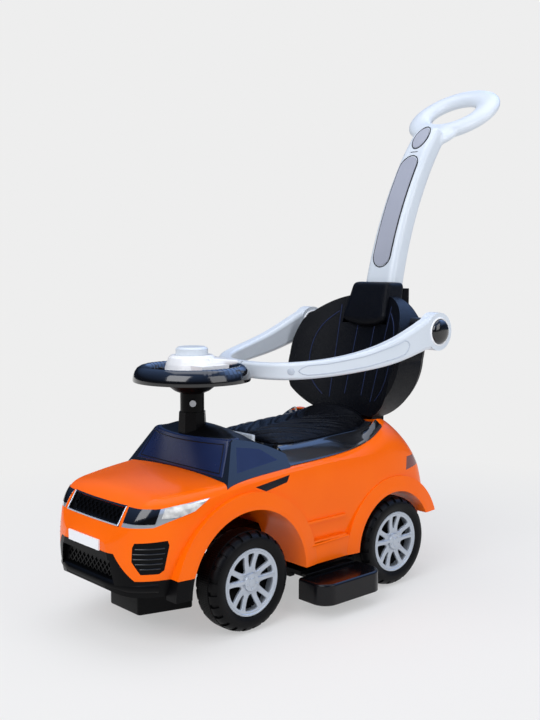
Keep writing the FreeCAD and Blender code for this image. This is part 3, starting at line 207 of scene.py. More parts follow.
# Seams: navy blue as a painted sheen of blue highlights over the seams' own black
SEAM_PAINTED_SHEEN = plastic("seam_painted_blue_sheen", (18, 28, 58), (30, 44, 84), 0.45, specular=0.2)
# Window panes: a dark tint whose navy blue is partly a painted reflection of blue sky
WINDOW_DARK_AND_REFLECTION = plastic("window_dark_with_painted_reflection", (16, 26, 56), (28, 42, 84), 0.26, grain=500, specular=0.3)
PALE = plastic("pale_plastic", (202, 211, 222), (214, 222, 231), 0.3)
# A grey darker than the arms' pale plastic: painted shade along the arm's groove
GROOVE_PAINTED_SHADE = plastic("groove_painted_shade", (176, 186, 200), (188, 197, 210), 0.34)
PANEL_GREY = plastic("panel_grey", (150, 154, 168), (168, 172, 186), 0.32)
WHITE = plastic("white_plastic", (232, 235, 240), (242, 243, 246), 0.28)
SILVER = plastic("silver_paint", (170, 178, 188), (190, 197, 207), 0.34, metallic=0.35, grain=2600)
STEEL = plastic("zinc_steel", (150, 152, 158), (188, 190, 196), 0.3, metallic=1.0, grain=1800)
LAMP_SILVER = plastic("lamp_silver", (196, 204, 212), (224, 229, 234), 0.14, metallic=0.6, coat_weight=1.0)
# Clear lens: facet patches drift from dark grey to white as painted glints and reflections
LAMP_GLASS_PAINTED_GLINTS = plastic("lamp_glass_painted_glints", (74, 78, 88), (255, 255, 252), 0.12, cloud=LAMP_GLINT_PATCHES, coat_weight=0.6)
LAMP_RED = plastic("lamp_red", (74, 6, 10), (120, 10, 12), 0.16, coat_weight=0.3)

SLOT_FINISHES = {"body_orange": ORANGE, "black_gloss": GLOSS_BLACK, "black_matt": MATT_BLACK,
                 "seat_black": SEAT_BLACK, "tyre_black": TYRE_BLACK, "pale_grey": PALE,
                 "panel_grey": PANEL_GREY, "white": WHITE, "plate_white": WHITE, "silver": SILVER,
                 "steel": STEEL, "lamp_clear": LAMP_SILVER, "lamp_red": LAMP_RED}
NODE_FINISHES = {"backrest_rear": SHELL_BLACK, "grille_frame": GLOSS_BLACK, "quarter_windows": WINDOW_DARK_AND_REFLECTION,
                 "footrest_left": FOOT_BLACK, "footrest_right": FOOT_BLACK}
for row in frame["record"]["subparts"]:
    mesh = NODES[row["node"]].data
    mesh.materials.clear()
    mesh.materials.append(NODE_FINISHES.get(row["node"], SLOT_FINISHES[row["material_slot"]]))


# Modelling helpers: selecting and editing

MERGE_REACH, CAD_MERGE_REACH = 0.00002, 0.00001


def deselect():
    bpy.ops.object.select_all(action="DESELECT")


def activate(piece):
    deselect()
    piece.select_set(True)
    bpy.context.view_layer.objects.active = piece


def edit_all():
    bpy.ops.object.mode_set(mode="EDIT")
    bpy.ops.mesh.select_all(action="SELECT")


def leave_edit():
    bpy.ops.object.mode_set(mode="OBJECT")


def edit_faces(piece, test):
    bpy.ops.object.mode_set(mode="EDIT")
    bpy.ops.mesh.select_mode(type="FACE")
    bpy.ops.mesh.select_all(action="DESELECT")
    leave_edit()
    for face in piece.data.polygons:
        face.select = test(face)
    bpy.ops.object.mode_set(mode="EDIT")


def swell(depth):
    bpy.ops.mesh.extrude_region_shrink_fatten(TRANSFORM_OT_shrink_fatten={"value": depth})
    leave_edit()


def named(name):
    piece = bpy.context.active_object
    piece.name = name
    piece.data.name = name
    return piece


def own_copy(source, name):
    piece = source.copy()
    piece.data = source.data.copy()
    piece.name = name
    piece.data.name = name
    bpy.context.scene.collection.objects.link(piece)
    return piece


def joined(name, pieces):
    deselect()
    for piece in pieces:
        piece.select_set(True)
    bpy.context.view_layer.objects.active = pieces[0]
    bpy.ops.object.join()
    return named(name)


# Modelling helpers: finishing

def close_up(piece):
    activate(piece)
    edit_all()
    bpy.ops.mesh.remove_doubles(threshold=MERGE_REACH)
    bpy.ops.mesh.normals_make_consistent(inside=False)
    leave_edit()


def smooth(piece, angle=35):
    activate(piece)
    bpy.ops.object.shade_smooth_by_angle(angle=math.radians(angle))


def apply_modifier(piece, kind, **settings):
    activate(piece)
    modifier = piece.modifiers.new(kind.lower(), kind)
    for label, setting in settings.items():
        setattr(modifier, label, setting)
    bpy.ops.object.modifier_apply(modifier=modifier.name)


def melt(piece, voxel, rounds):
    apply_modifier(piece, "REMESH", mode="VOXEL", voxel_size=voxel)
    apply_modifier(piece, "SMOOTH", factor=0.5, iterations=rounds)


def settle(piece):
    activate(piece)
    bpy.ops.object.transform_apply(location=True, rotation=True, scale=True)


def mirror_over(piece, side):
    if side < 0:
        for vertex in piece.data.vertices:
            vertex.co.x = -vertex.co.x
        activate(piece)
        edit_all()
        bpy.ops.mesh.flip_normals()
        leave_edit()
    return piece


def dress(piece, material, body, slot, *nodes):
    piece.data.materials.clear()
    piece.data.materials.append(material)
    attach(piece, body)
    if nodes:
        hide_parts(*nodes)
    return piece


# Modelling helpers: first shapes

def polar(radius, degrees):
    return radius * math.cos(math.radians(degrees)), radius * math.sin(math.radians(degrees))


def read_off(rows, y, eased=False):
    for (near, start), (far, end) in zip(rows, rows[1:]):
        if y <= far:
            share = (y - near) / (far - near)
            if eased:
                share = (3 - 2 * share) * share * share
            return start + (end - start) * share
    return rows[-1][1]


def turned(name, points, steps, axis):
    deselect()
    bpy.ops.mesh.primitive_circle_add(vertices=len(points), fill_type="NOTHING")
    piece = named(name)
    for vertex, point in zip(piece.data.vertices, points):
        vertex.co = point
    edit_all()
    bpy.ops.mesh.spin(steps=steps, angle=2 * math.pi, center=(0, 0, 0), axis=axis)
    leave_edit()
    close_up(piece)
    return piece


def spun(name, section, steps):
    return turned(name, [(x, 0, radius) for x, radius in section], steps, (1, 0, 0))


def block(name, low, high, rounding):
    deselect()
    bpy.ops.mesh.primitive_cube_add(size=1)
    piece = named(name)
    piece.scale = Vector(high) - Vector(low)
    piece.location = (Vector(low) + Vector(high)) / 2
    settle(piece)
    apply_modifier(piece, "BEVEL", width=rounding, segments=3)
    return piece


def grid(name, across, along):
    deselect()
    bpy.ops.mesh.primitive_grid_add(x_subdivisions=across, y_subdivisions=along, size=2)
    return named(name)


def backed_sheet(name, across, along, place, back):
    sheet = grid(name, across, along)
    for vertex in sheet.data.vertices:
        vertex.co = place(vertex.co.x, (vertex.co.y + 1) / 2)
    edit_all()
    bpy.ops.mesh.region_to_loop()
    bpy.ops.mesh.extrude_region_move(TRANSFORM_OT_translate={"value": back})
    bpy.ops.mesh.edge_face_add()
    bpy.ops.mesh.normals_make_consistent(inside=False)
    leave_edit()
    return sheet


def curve_mesh(name, lines, closed, **settings):
    curve = bpy.data.curves.new(name, "CURVE")
    for label, setting in settings.items():
        setattr(curve, label, setting)
    curve.bevel_resolution = 2
    curve.resolution_u = 6
    for points in lines:
        spline = curve.splines.new("NURBS")
        spline.points.add(len(points) - 1)
        for knot, point in zip(spline.points, points):
            knot.co = (*point, 1)
        spline.use_cyclic_u = closed
        spline.order_u = 3
        spline.use_endpoint_u = not closed
    piece = bpy.data.objects.new(name, curve)
    bpy.context.scene.collection.objects.link(piece)
    activate(piece)
    bpy.ops.object.convert(target="MESH")
    return bpy.context.active_object


def flat_plate(name, outlines, thickness, rounding):
    lines = [[(x, y, 0) for x, y in points] for points in outlines]
    return curve_mesh(name, lines, True, dimensions="2D", fill_mode="BOTH", extrude=thickness,
                      bevel_depth=rounding)


def bead(name, points, radius):
    return curve_mesh(name, [points], False, dimensions="3D", bevel_depth=radius, use_fill_caps=True)


# Copies of CAD pieces, merged, and points on their surfaces

SURFACES = {}
AHEAD = -0.6
BACKWARDS, UP = Vector((0, 1, 0)), Vector((0, 0, 1))


def merged_copy(name, node):
    piece = own_copy(NODES[node], name)
    piece.parent = None
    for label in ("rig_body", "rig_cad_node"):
        del piece[label]
    activate(piece)
    edit_all()
    bpy.ops.mesh.remove_doubles(threshold=CAD_MERGE_REACH)
    leave_edit()
    return piece


def surface_point(node, start, way):
    if node not in SURFACES:
        mesh = NODES[node].data
        corners = [vertex.co for vertex in mesh.vertices]
        SURFACES[node] = BVHTree.FromPolygons(corners, [list(face.vertices) for face in mesh.polygons])
    return SURFACES[node].ray_cast(Vector(start), Vector(way))[0]


def surface_line(node, starts, way, sink):
    way = Vector(way).normalized()
    hits = [surface_point(node, start, way) for start in starts]
    return [place + way * sink for place in hits if place]


# Wheels: one tyre and one split-spoke cap, copied to the four corners

WHEEL_FACE, WHEEL_RADIUS, TYRE_WIDTH = 0.143, 0.075, 0.050
TREAD_STEPS, LUG_STEPS, NOTCH_STEPS = 288, 12, 4
TREAD_LOW, TREAD_EDGE, RIB_RISE = 0.074, 0.0145, 0.0006
NOTCH_LOW, NOTCH_REACH, NOTCH_DEPTH = 0.0655, 0.0125, 0.0026
SHOULDER = [(0, 0.058), (0, 0.0635), (0.0012, 0.0672), (0.0045, 0.0709), (0.0085, 0.0733),
            (0.0125, 0.0739), (0.0131, 0.0729), (0.0139, 0.0729), (TREAD_EDGE, 0.0741), (0.0235, 0.0744)]
CAP_SEAT = [(0.0495, 0.0555), (0.0478, 0.0530), (0.0474, 0.0508), (0.029, 0.0506), (0.029, 0.014),
            (0.037, 0.014), (0.037, 0.00405), (0, 0.00405), (0, 0.014), (0.021, 0.014), (0.021, 0.058)]


def tread_place(face):
    turn = math.atan2(face.center.z, face.center.y) / (2 * math.pi) * TREAD_STEPS
    return face.center.x, math.hypot(face.center.y, face.center.z), int(math.floor(turn)) % TREAD_STEPS


def on_rib(face):
    x, radius, step = tread_place(face)
    return radius > TREAD_LOW and TREAD_EDGE < x < TYRE_WIDTH - TREAD_EDGE and step % 2 == 0


def on_notch(face):
    x, radius, step = tread_place(face)
    return radius > NOTCH_LOW and min(x, TYRE_WIDTH - x) < NOTCH_REACH and step % LUG_STEPS < NOTCH_STEPS


def make_tyre():
    far_shoulder = [(TYRE_WIDTH - x, radius) for x, radius in reversed(SHOULDER[1:])]
    tyre = spun("tyre", SHOULDER + far_shoulder + CAP_SEAT, TREAD_STEPS)
    edit_faces(tyre, on_rib)
    swell(RIB_RISE)
    edit_faces(tyre, on_notch)
    swell(-NOTCH_DEPTH)
    smooth(tyre)
    return tyre


CAP_RADIUS, CAP_STEPS = 0.0476, 60
CAP_WALL, CAP_ROUNDING, CAP_DISH, CAP_PLACE = 0.0014, 0.0009, 0.0035, 0.0445
SPOKE_PAIRS, FIRST_PAIR = 5, 90
WINDOW_RIM = 0.0438
# Drops from a window's rim and rises from its tip, each with its share of the half angle there
WINDOW_OUTER = [(0, 0), (0, 0.5), (0.0006, 0.86), (0.0025, 1)]
WINDOW_INNER = [(0.004, 1.05), (0.0012, 0.75), (0, 0)]
# Shares of the way from tip to rim, in radius and in half angle
WINDOW_WAIST = (0.38, 0.55)
TWIN_TIP, TWIN_HALF_TIP, TWIN_HALF_RIM = 0.0205, 6.5, 9.5
GAP_TIP, GAP_HALF_TIP, GAP_HALF_RIM = 0.0175, 11, 18.5
FLANGE_SECTION = [(0.030, 0.0456), (0.030, 0.0505), (0.0468, 0.0505), (0.0476, 0.0500), (0.0480, 0.0490),
                  (0.0478, 0.0478), (0.0468, 0.0466), (0.0440, 0.0458)]
HUB_SECTION = [(0.038, 0.0001), (0.038, 0.0135), (0.0462, 0.0135), (0.0472, 0.0128), (0.0474, 0.0118),
               (0.0474, 0.0066), (0.0479, 0.0062), (0.0482, 0.0052), (0.0484, 0.0001)]
BOLT_SECTION = [(0.046, 0.0001), (0.046, 0.0017), (0.0480, 0.0017), (0.0485, 0.0012), (0.0486, 0.0001)]
BOLT_CIRCLE = 0.0094
FLANGE_STEPS, HUB_STEPS, BOLT_STEPS = 96, 48, 12


def window_outline(middle, tip, half_tip, half_rim):
    half = [(WINDOW_RIM - drop, share * half_rim) for drop, share in WINDOW_OUTER]
    way, share = WINDOW_WAIST
    half.append((tip + (WINDOW_RIM - tip) * way, half_tip + (half_rim - half_tip) * share))
    half += [(tip + rise, share * half_tip) for rise, share in WINDOW_INNER]
    points = [polar(radius, middle + turn) for radius, turn in half]
    return points + [polar(radius, middle - turn) for radius, turn in reversed(half[1:-1])]


def make_cap_face(pair_turn):
    outlines = [[polar(CAP_RADIUS, 360 * step / CAP_STEPS) for step in range(CAP_STEPS)]]
    for pair in range(SPOKE_PAIRS):
        middle = FIRST_PAIR + pair_turn * pair
        outlines.append(window_outline(middle, TWIN_TIP, TWIN_HALF_TIP, TWIN_HALF_RIM))
        outlines.append(window_outline(middle + pair_turn / 2, GAP_TIP, GAP_HALF_TIP, GAP_HALF_RIM))
    face = flat_plate("cap_face", outlines, CAP_WALL, CAP_ROUNDING)
    for vertex in face.data.vertices:
        share = min(math.hypot(vertex.co.x, vertex.co.y) / CAP_RADIUS, 1)
        vertex.co.z -= CAP_DISH * math.sin(math.pi * share) ** 2
    face.rotation_euler = (math.radians(90), 0, math.radians(90))
    face.location = (CAP_PLACE, 0, 0)
    settle(face)
    return face


def make_cap():
    pair_turn = 360 / SPOKE_PAIRS
    pieces = [make_cap_face(pair_turn), spun("cap_flange", FLANGE_SECTION, FLANGE_STEPS),
              spun("cap_hub", HUB_SECTION, HUB_STEPS)]
    for pair in range(SPOKE_PAIRS):
        bolt = spun("cap_bolt", BOLT_SECTION, BOLT_STEPS)
        bolt.location = (0, *polar(BOLT_CIRCLE, FIRST_PAIR + pair_turn * (pair + 0.5)))
        settle(bolt)
        pieces.append(bolt)
    cap = joined("wheel_cap", pieces)
    close_up(cap)
    smooth(cap)
    return cap


def place_wheel(master, name, side, axle_y):
    wheel = own_copy(master, name)
    wheel.location = (side * (WHEEL_FACE - TYRE_WIDTH), axle_y, WHEEL_RADIUS)
    wheel.rotation_euler = (0, 0, 0 if side > 0 else math.pi)
    settle(wheel)
    return wheel


tyre_master = make_tyre()
cap_master = make_cap()
for end, axle_y in AXLES.items():
    for side_name, side in SIDES.items():
        corner = "%s_%s" % (end, side_name)
        body = corner + "_wheel"
        tread = place_wheel(tyre_master, "tread_" + corner, side, axle_y)
        dress(tread, TYRE_BLACK, body, "tyre_black", "tyre_" + corner)
        spokes = place_wheel(cap_master, "spokes_" + corner, side, axle_y)
        dress(spokes, SILVER, body, "silver", "wheel_cap_" + corner)
for master in (tyre_master, cap_master):
    bpy.data.objects.remove(master)


# Seat: a moulded cushion with folds that sweep back from its middle line to its sides

PAD_ROWS = [(-0.138, 0.064), (-0.130, 0.076), (-0.104, 0.086), (-0.062, 0.089), (-0.008, 0.089),
            (0.032, 0.086), (0.060, 0.082), (0.078, 0.070)]
PAD_FRONT, PAD_REAR = PAD_ROWS[0][0], PAD_ROWS[-1][0]
PAD_TOP, PAD_SLOPE, PAD_BACK = 0.2695, 0.075, 0.0004
PAD_LIFT, PAD_LEAST = 0.0006, 0.0005
PAD_ACROSS, PAD_ALONG, PAD_SMOOTH = 120, 140, 60
SIDE_POWER, SIDE_ROUND, FRONT_POWER, REAR_POWER, END_ROUND = 2.6, 0.75, 8, 20, 0.5
SCOOP_START, SCOOP_RISE = 0.012, 0.014
LID_FRONT, LID_TOP, LID_TILT = -0.150, 0.2563, math.radians(2.4)
FOLD_PITCH, FOLD_SWEEP, FOLD_DEPTH, FOLD_ROUND = 0.0225, -1.1, 0.0034, 0.55
WANDER_SIDE, WANDER_ACROSS, WANDER_PHASE = 0.18, 41, 3.1
WANDER_LENGTH, WANDER_ALONG = 0.12, 90
MIDDLE_FADE, MIDDLE_SHARE = 0.004, 0.4
REAR_FADE_START, REAR_FADE_LENGTH, REAR_FADE_SHARE = -0.010, 0.050, 0.85


def lid_top(y):
    return LID_TOP + math.tan(LID_TILT) * (y - LID_FRONT)


def pad_crown(y):
    scoop = max((y - SCOOP_START) / (PAD_REAR - SCOOP_START), 0)
    return PAD_TOP + PAD_SLOPE * (y - PAD_FRONT) + SCOOP_RISE * scoop * scoop


def fold(x, y):
    phase = (y + FOLD_SWEEP * abs(x)) / FOLD_PITCH
    wander = (WANDER_SIDE * math.sin(WANDER_ACROSS * x + WANDER_PHASE * phase)
              + WANDER_LENGTH * math.sin(WANDER_ALONG * y))
    share = (phase + wander) % 1
    return (abs(math.sin(math.pi * share)) ** FOLD_ROUND) - 1


def fold_depth(x, y):
    middle = MIDDLE_SHARE + (1 - MIDDLE_SHARE) * min(abs(x) / MIDDLE_FADE, 1)
    rear = 1 - REAR_FADE_SHARE * min(max((y - REAR_FADE_START) / REAR_FADE_LENGTH, 0), 1)
    return FOLD_DEPTH * middle * rear


def pad_point(u, v):
    y = PAD_FRONT + (PAD_REAR - PAD_FRONT) * v
    x = read_off(PAD_ROWS, y, eased=True) * u
    length = 2 * v - 1
    end_rise = (1 - abs(length) ** (FRONT_POWER if length < 0 else REAR_POWER)) ** END_ROUND
    rise = (1 - abs(u) ** SIDE_POWER) ** SIDE_ROUND * end_rise
    low = lid_top(y) + PAD_LIFT
    z = low + (pad_crown(y) - low) * rise + fold_depth(x, y) * rise * fold(x, y)
    return x, y, max(z, lid_top(y) + PAD_LEAST)


def make_seat_pad():
    pad = backed_sheet("seat_cushion", PAD_ACROSS, PAD_ALONG, pad_point, (0, 0, -PAD_BACK))
    smooth(pad, PAD_SMOOTH)
    return pad


cushion = dress(make_seat_pad(), PAD_BLACK, "seat", "seat_black", "seat_pad")


# Backrest: seams in its hollow

BUCKET_RADIUS, BUCKET_FACE = 0.16661, 0.102
BACK_LOW, BACK_LEAN = 0.280, 0.28
SEAM_SINK, SEAM_RADIUS, SEAM_STEPS = 0.0004, 0.0010, 11
UPRIGHT_SEAMS = [((0.020, 0.306), (0.020, 0.428)), ((0.050, 0.298), (0.060, 0.464))]
SIDE_SEAM = [(0.062, 0.452), (0.080, 0.438), (0.094, 0.412), (0.098, 0.378), (0.094, 0.344), (0.082, 0.318),
             (0.064, 0.302)]


def on_bucket(x, z):
    axis_y = BUCKET_FACE - BUCKET_RADIUS + BACK_LEAN * (z - BACK_LOW)
    reach = math.sqrt(BUCKET_RADIUS ** 2 - x * x) * math.hypot(1, BACK_LEAN)
    return Vector((x, axis_y + reach + SEAM_SINK, z))


def make_seams():
    shares = [step / SEAM_STEPS for step in range(SEAM_STEPS + 1)]
    lines = []
    for (foot_x, foot_z), (head_x, head_z) in UPRIGHT_SEAMS:
        across, rise = head_x - foot_x, head_z - foot_z
        lines.append([(foot_x + across * share, foot_z + rise * share) for share in shares])
    seams = []
    for side in SIDES.values():
        for line in lines + [SIDE_SEAM]:
            seams.append(bead("seam", [on_bucket(side * x, z) for x, z in line], SEAM_RADIUS))
    return joined("backrest_seams", seams)


# The seam beads take the navy painted sheen
dress(make_seams(), SEAM_PAINTED_SHEEN, "chassis", "seat_black")


# Steering wheel: a deep rim with ribbed grips and three spokes

STEER_CENTRE = Vector((0, AXLES["front"], 0))
STEER_SECTION = [(0.0905, 0.3604), (0.0910, 0.3625), (0.0902, 0.3690), (0.0878, 0.3755), (0.0838, 0.3810),
                 (0.0790, 0.3836), (0.0742, 0.3836), (0.0700, 0.3806), (0.0676, 0.3750), (0.0670, 0.3690),
                 (0.0680, 0.3630), (0.0700, 0.3602)]
STEER_STEPS, STEER_SMOOTH = 180, 40
GRIP_HALF_TURN, GRIP_OUTER, GRIP_LOW, GRIP_RISE, GRIP_EVERY = 26, 0.087, 0.374, 0.0004, 3
SPOKE_TURNS = (0, 180, 270)
# A wedge's root and tip: reach from the column, half width, low and high
SPOKE_ROOT, SPOKE_TIP, SPOKE_ROUNDING = (0.0375, 0.017, 0.366, 0.377), (0.071, 0.013, 0.366, 0.377), 0.003


def on_grip(face):
    away = face.center - STEER_CENTRE
    turn = math.degrees(math.atan2(away.y, away.x))
    step = int(math.floor(turn / 360 * STEER_STEPS)) % STEER_STEPS
    beside = min(turn % 180, 180 - turn % 180) < GRIP_HALF_TURN
    inside = math.hypot(away.x, away.y) < GRIP_OUTER
    return beside and inside and face.center.z > GRIP_LOW and step % GRIP_EVERY > 0


def column_wedge(name, root, tip, rounding, turn):
    deselect()
    bpy.ops.mesh.primitive_cube_add(size=1)
    piece = named(name)
    for vertex in piece.data.vertices:
        reach, half, low, high = root if vertex.co.x < 0 else tip
        vertex.co = (reach, half if vertex.co.y > 0 else -half, high if vertex.co.z > 0 else low)
    apply_modifier(piece, "BEVEL", width=rounding, segments=3)
    piece.rotation_euler = (0, 0, math.radians(turn))
    piece.location = STEER_CENTRE
    settle(piece)
    return piece


def make_steering_wheel():
    rim = turned("steering_rim", [(radius, 0, z) for radius, z in STEER_SECTION], STEER_STEPS, (0, 0, 1))
    rim.location = STEER_CENTRE
    settle(rim)
    edit_faces(rim, on_grip)
    swell(GRIP_RISE)
    pieces = [rim]
    for turn in SPOKE_TURNS:
        pieces.append(column_wedge("steering_spoke", SPOKE_ROOT, SPOKE_TIP, SPOKE_ROUNDING, turn))
    wheel = joined("steering_rim", pieces)
    smooth(wheel, STEER_SMOOTH)
    return wheel


dress(make_steering_wheel(), GLOSS_BLACK, "steering", "black_gloss", "steering_wheel")


# Headlights: a dark lens next to the grille, a clear one towards the tip

LAMP_RUN, LAMP_FACING = Vector((0.669, 0.743, 0)), Vector((0.6, -0.8, 0))
LENS_SLANT, LENS_LIFT, LENS_LEAST_FACING = 0.35, 0.0006, 0.3
DARK_LENS = {"start": -0.2619, "end": -0.2166, "low": 0.1835, "high": 0.2035}
CLEAR_LENS = {"start": -0.2090, "end": -0.1500, "low": 0.1900, "high": 0.2060}


def lens_cuts(along, start, end, low, high):
    level, slant = UP * (low + high) / 2, UP * LENS_SLANT
    return [(along * start + level, along - slant), (along * end + level, slant - along), (UP * low, UP),
            (UP * high, -UP)]


def make_lens(name, side_name, limits):
    across = Vector((SIDES[side_name], 1, 1))
    facing = LAMP_FACING * across
    lens = merged_copy(name + side_name, "headlight_" + side_name)
    bpy.ops.object.mode_set(mode="EDIT")
    for spot, keep in lens_cuts(LAMP_RUN * across, **limits):
        bpy.ops.mesh.select_all(action="SELECT")
        bpy.ops.mesh.bisect(plane_co=spot, plane_no=keep, clear_inner=True)
    leave_edit()
    edit_faces(lens, lambda face: face.normal.dot(facing) < LENS_LEAST_FACING)
    bpy.ops.mesh.delete(type="FACE")
    leave_edit()
    apply_modifier(lens, "SOLIDIFY", thickness=LENS_LIFT, offset=1)
    smooth(lens)
    return lens


for side_name in SIDES:
    dress(make_lens("headlight_lens_", side_name, DARK_LENS), GLOSS_BLACK, "chassis", "black_gloss")
    # The clear lens takes the glass with painted glints on its facets
    dress(make_lens("headlight_glass_", side_name, CLEAR_LENS), LAMP_GLASS_PAINTED_GLINTS, "chassis", "lamp_clear")


# Grille: a bright line under it and at its ends

GRILLE_LOW, GRILLE_HIGH, GRILLE_END = 0.1783, 0.2030, 0.0668
TRIM_RADIUS, TRIM_LIFT, TRIM_HALF_STEPS, TRIM_END_STEPS = 0.0012, 0.0002, 15, 6
TRIM_SMOOTH = 60


def on_grille(x, z):
    return surface_line("grille_frame", [(x, AHEAD, z)], BACKWARDS, -TRIM_LIFT)[0]


def make_grille_trim():
    steps = range(-TRIM_HALF_STEPS, TRIM_HALF_STEPS + 1)
    under = [on_grille(GRILLE_END * step / TRIM_HALF_STEPS, GRILLE_LOW) for step in steps]
    trims = [bead("grille_trim", under, TRIM_RADIUS)]
    for side in SIDES.values():
        foot, head = on_grille(side * GRILLE_END, GRILLE_LOW), on_grille(side * GRILLE_END, GRILLE_HIGH)
        upright = [foot.lerp(head, step / TRIM_END_STEPS) for step in range(TRIM_END_STEPS + 1)]
        trims.append(bead("grille_trim", upright, TRIM_RADIUS))
    trim = joined("grille_trim", trims)
    smooth(trim, TRIM_SMOOTH)
    return trim


dress(make_grille_trim(), LAMP_SILVER, "chassis", "silver")


# Fog vents and bumper: slats over the vents, a full lip under the intake, a rounded skid block

VENT_X, VENT_Y, VENT_BACK_OFF = 0.098, -0.402, 0.1
VENT_SINE, VENT_COSINE = 0.62, 0.78
SLAT_HEIGHTS = (0.122, 0.129, 0.136, 0.143, 0.150)
SLAT_STEP, SLAT_HALF_STEPS, SLAT_LIFT, SLAT_RADIUS = 0.003, 10, 0.0002, 0.0011
LIP_STEP, LIP_HALF_STEPS, LIP_LEVEL, LIP_SINK, LIP_RISE = 0.011, 10, 0.090, 0.0078, 0.004
LIP_RADIUS, LIP_SMOOTH = 0.009, 60
SKID_ROUNDING, SKID_EDGE = 0.003, 35


def make_vent_slats():
    slats = []
    for side in SIDES.values():
        inward = Vector((-side * VENT_SINE, VENT_COSINE, 0))
        across = Vector((side * VENT_COSINE, VENT_SINE, 0))
        for height in SLAT_HEIGHTS:
            middle = Vector((side * VENT_X, VENT_Y, height)) - inward * VENT_BACK_OFF
            steps = range(-SLAT_HALF_STEPS, SLAT_HALF_STEPS + 1)
            starts = [middle + across * (SLAT_STEP * step) for step in steps]
            line = surface_line("fog_vents", starts, inward, -SLAT_LIFT)
            slats.append(bead("vent_slat", line[1:-1], SLAT_RADIUS))
    return joined("vent_slats", slats)


def make_bumper_lip():
    starts = [(LIP_STEP * step, AHEAD, LIP_LEVEL) for step in range(-LIP_HALF_STEPS, LIP_HALF_STEPS + 1)]
    line = surface_line("front_bumper", starts, BACKWARDS, LIP_SINK)
    lip = bead("bumper_lip", [place + UP * LIP_RISE for place in line], LIP_RADIUS)
    smooth(lip, LIP_SMOOTH)
    return lip


def make_skid_block():
    skid = merged_copy("skid_block", "front_skid")
    edit_all()
    bpy.ops.mesh.dissolve_limited(angle_limit=math.radians(1))
    leave_edit()
    apply_modifier(skid, "BEVEL", width=SKID_ROUNDING, segments=2, limit_method="ANGLE",
                   angle_limit=math.radians(SKID_EDGE))
    smooth(skid, SKID_EDGE)
    return skid


dress(make_vent_slats(), GLOSS_BLACK, "chassis", "black_gloss")
dress(make_bumper_lip(), MATT_BLACK, "chassis", "black_matt")
dress(make_skid_block(), MATT_BLACK, "chassis", "black_matt", "front_skid")


# Push handle: the stem flows into the ring through a filled fork

STEM_END, STEM_WAY = (0, 0.328, 0.780), (0, 0.55, 0.83)
RING_CENTRE, RING_TILT = Vector((0, 0.3908, 0.8215)), math.radians(40)
RING_HALF_WIDTH, RING_HALF_LENGTH = 0.0735, 0.0545
RING_SIDE_BAND, RING_END_BAND, RING_DEPTH = 0.0250, 0.0215, 0.0125
FORK_SIZE, FORK_PLACE = (0.047, 0.033, 0.0125), (0, 0.3385, 0.7790)
HANDLE_VOXEL, HANDLE_ROUNDS, HANDLE_SMOOTH = 0.0022, 14, 60


def ring_point(turn, roll):
    across = math.sin(turn) * (RING_HALF_WIDTH + RING_SIDE_BAND * math.cos(roll))
    along = math.cos(turn) * (RING_HALF_LENGTH + RING_END_BAND * math.cos(roll))
    lift = RING_DEPTH * math.sin(roll)
    return RING_CENTRE + Vector((across, along * math.cos(RING_TILT) - lift * math.sin(RING_TILT),
                                 along * math.sin(RING_TILT) + lift * math.cos(RING_TILT)))


def make_handle():
    stem = merged_copy("handle_moulding", "push_handle")
    edit_all()
    bpy.ops.mesh.bisect(plane_co=STEM_END, plane_no=STEM_WAY, clear_outer=True, use_fill=True)
    leave_edit()
    deselect()
    bpy.ops.mesh.primitive_torus_add(major_radius=1, minor_radius=0.2, major_segments=96, minor_segments=24)
    ring = named("handle_ring")
    for vertex in ring.data.vertices:
        turn = math.atan2(vertex.co.x, vertex.co.y)
        roll = math.atan2(vertex.co.z, math.hypot(vertex.co.x, vertex.co.y) - 1)
        vertex.co = ring_point(turn, roll)
    deselect()
    bpy.ops.mesh.primitive_uv_sphere_add(segments=48, ring_count=24, radius=1)
    fork = named("handle_fork")
    fork.scale = FORK_SIZE
    fork.rotation_euler = (RING_TILT, 0, 0)
    fork.location = FORK_PLACE
    settle(fork)
    handle = joined("handle_moulding", [stem, ring, fork])
    melt(handle, HANDLE_VOXEL, HANDLE_ROUNDS)
    smooth(handle, HANDLE_SMOOTH)
    return handle


dress(make_handle(), PALE, "chassis", "pale_grey", "push_handle")


# Handle lines: dark edges round the inlaid panel and the badge, and a slot between them

HANDLE_AHEAD = -0.5
INLAY_HALF, INLAY_LOW, INLAY_HIGH = 0.0202, 0.5325, 0.7375
INLAY_SIDE_STEPS, INLAY_END_STEPS = 60, 16
BADGE_HALF_WIDTH, BADGE_HALF_LENGTH, BADGE_LEVEL, BADGE_STEPS = 0.0166, 0.0212, 0.772, 48
HANDLE_SLOT_HALF, HANDLE_SLOT_LEVEL, HANDLE_SLOT_STEPS = 0.008, 0.7445, 8
EDGE_LINE, SLOT_LINE = 0.0010, 0.0007


def handle_bead(spots, radius):
    points = [surface_point("push_handle", (x, HANDLE_AHEAD, z), BACKWARDS) for x, z in spots]
    return bead("handle_line", points, radius)


def inlay_outline():
    low, high = INLAY_LOW + INLAY_HALF, INLAY_HIGH - INLAY_HALF
    shares = [step / INLAY_SIDE_STEPS for step in range(INLAY_SIDE_STEPS + 1)]
    half = [(INLAY_HALF, low + (high - low) * share) for share in shares]
    for step in range(1, INLAY_END_STEPS):
        across, rise = polar(INLAY_HALF, 180 * step / INLAY_END_STEPS)
        half.append((across, high + rise))
    return half + [(-x, INLAY_LOW + INLAY_HIGH - z) for x, z in half]


def badge_outline():
    circle = [polar(1, 360 * step / BADGE_STEPS) for step in range(BADGE_STEPS)]
    return [(BADGE_HALF_WIDTH * x, BADGE_LEVEL + BADGE_HALF_LENGTH * z) for x, z in circle]


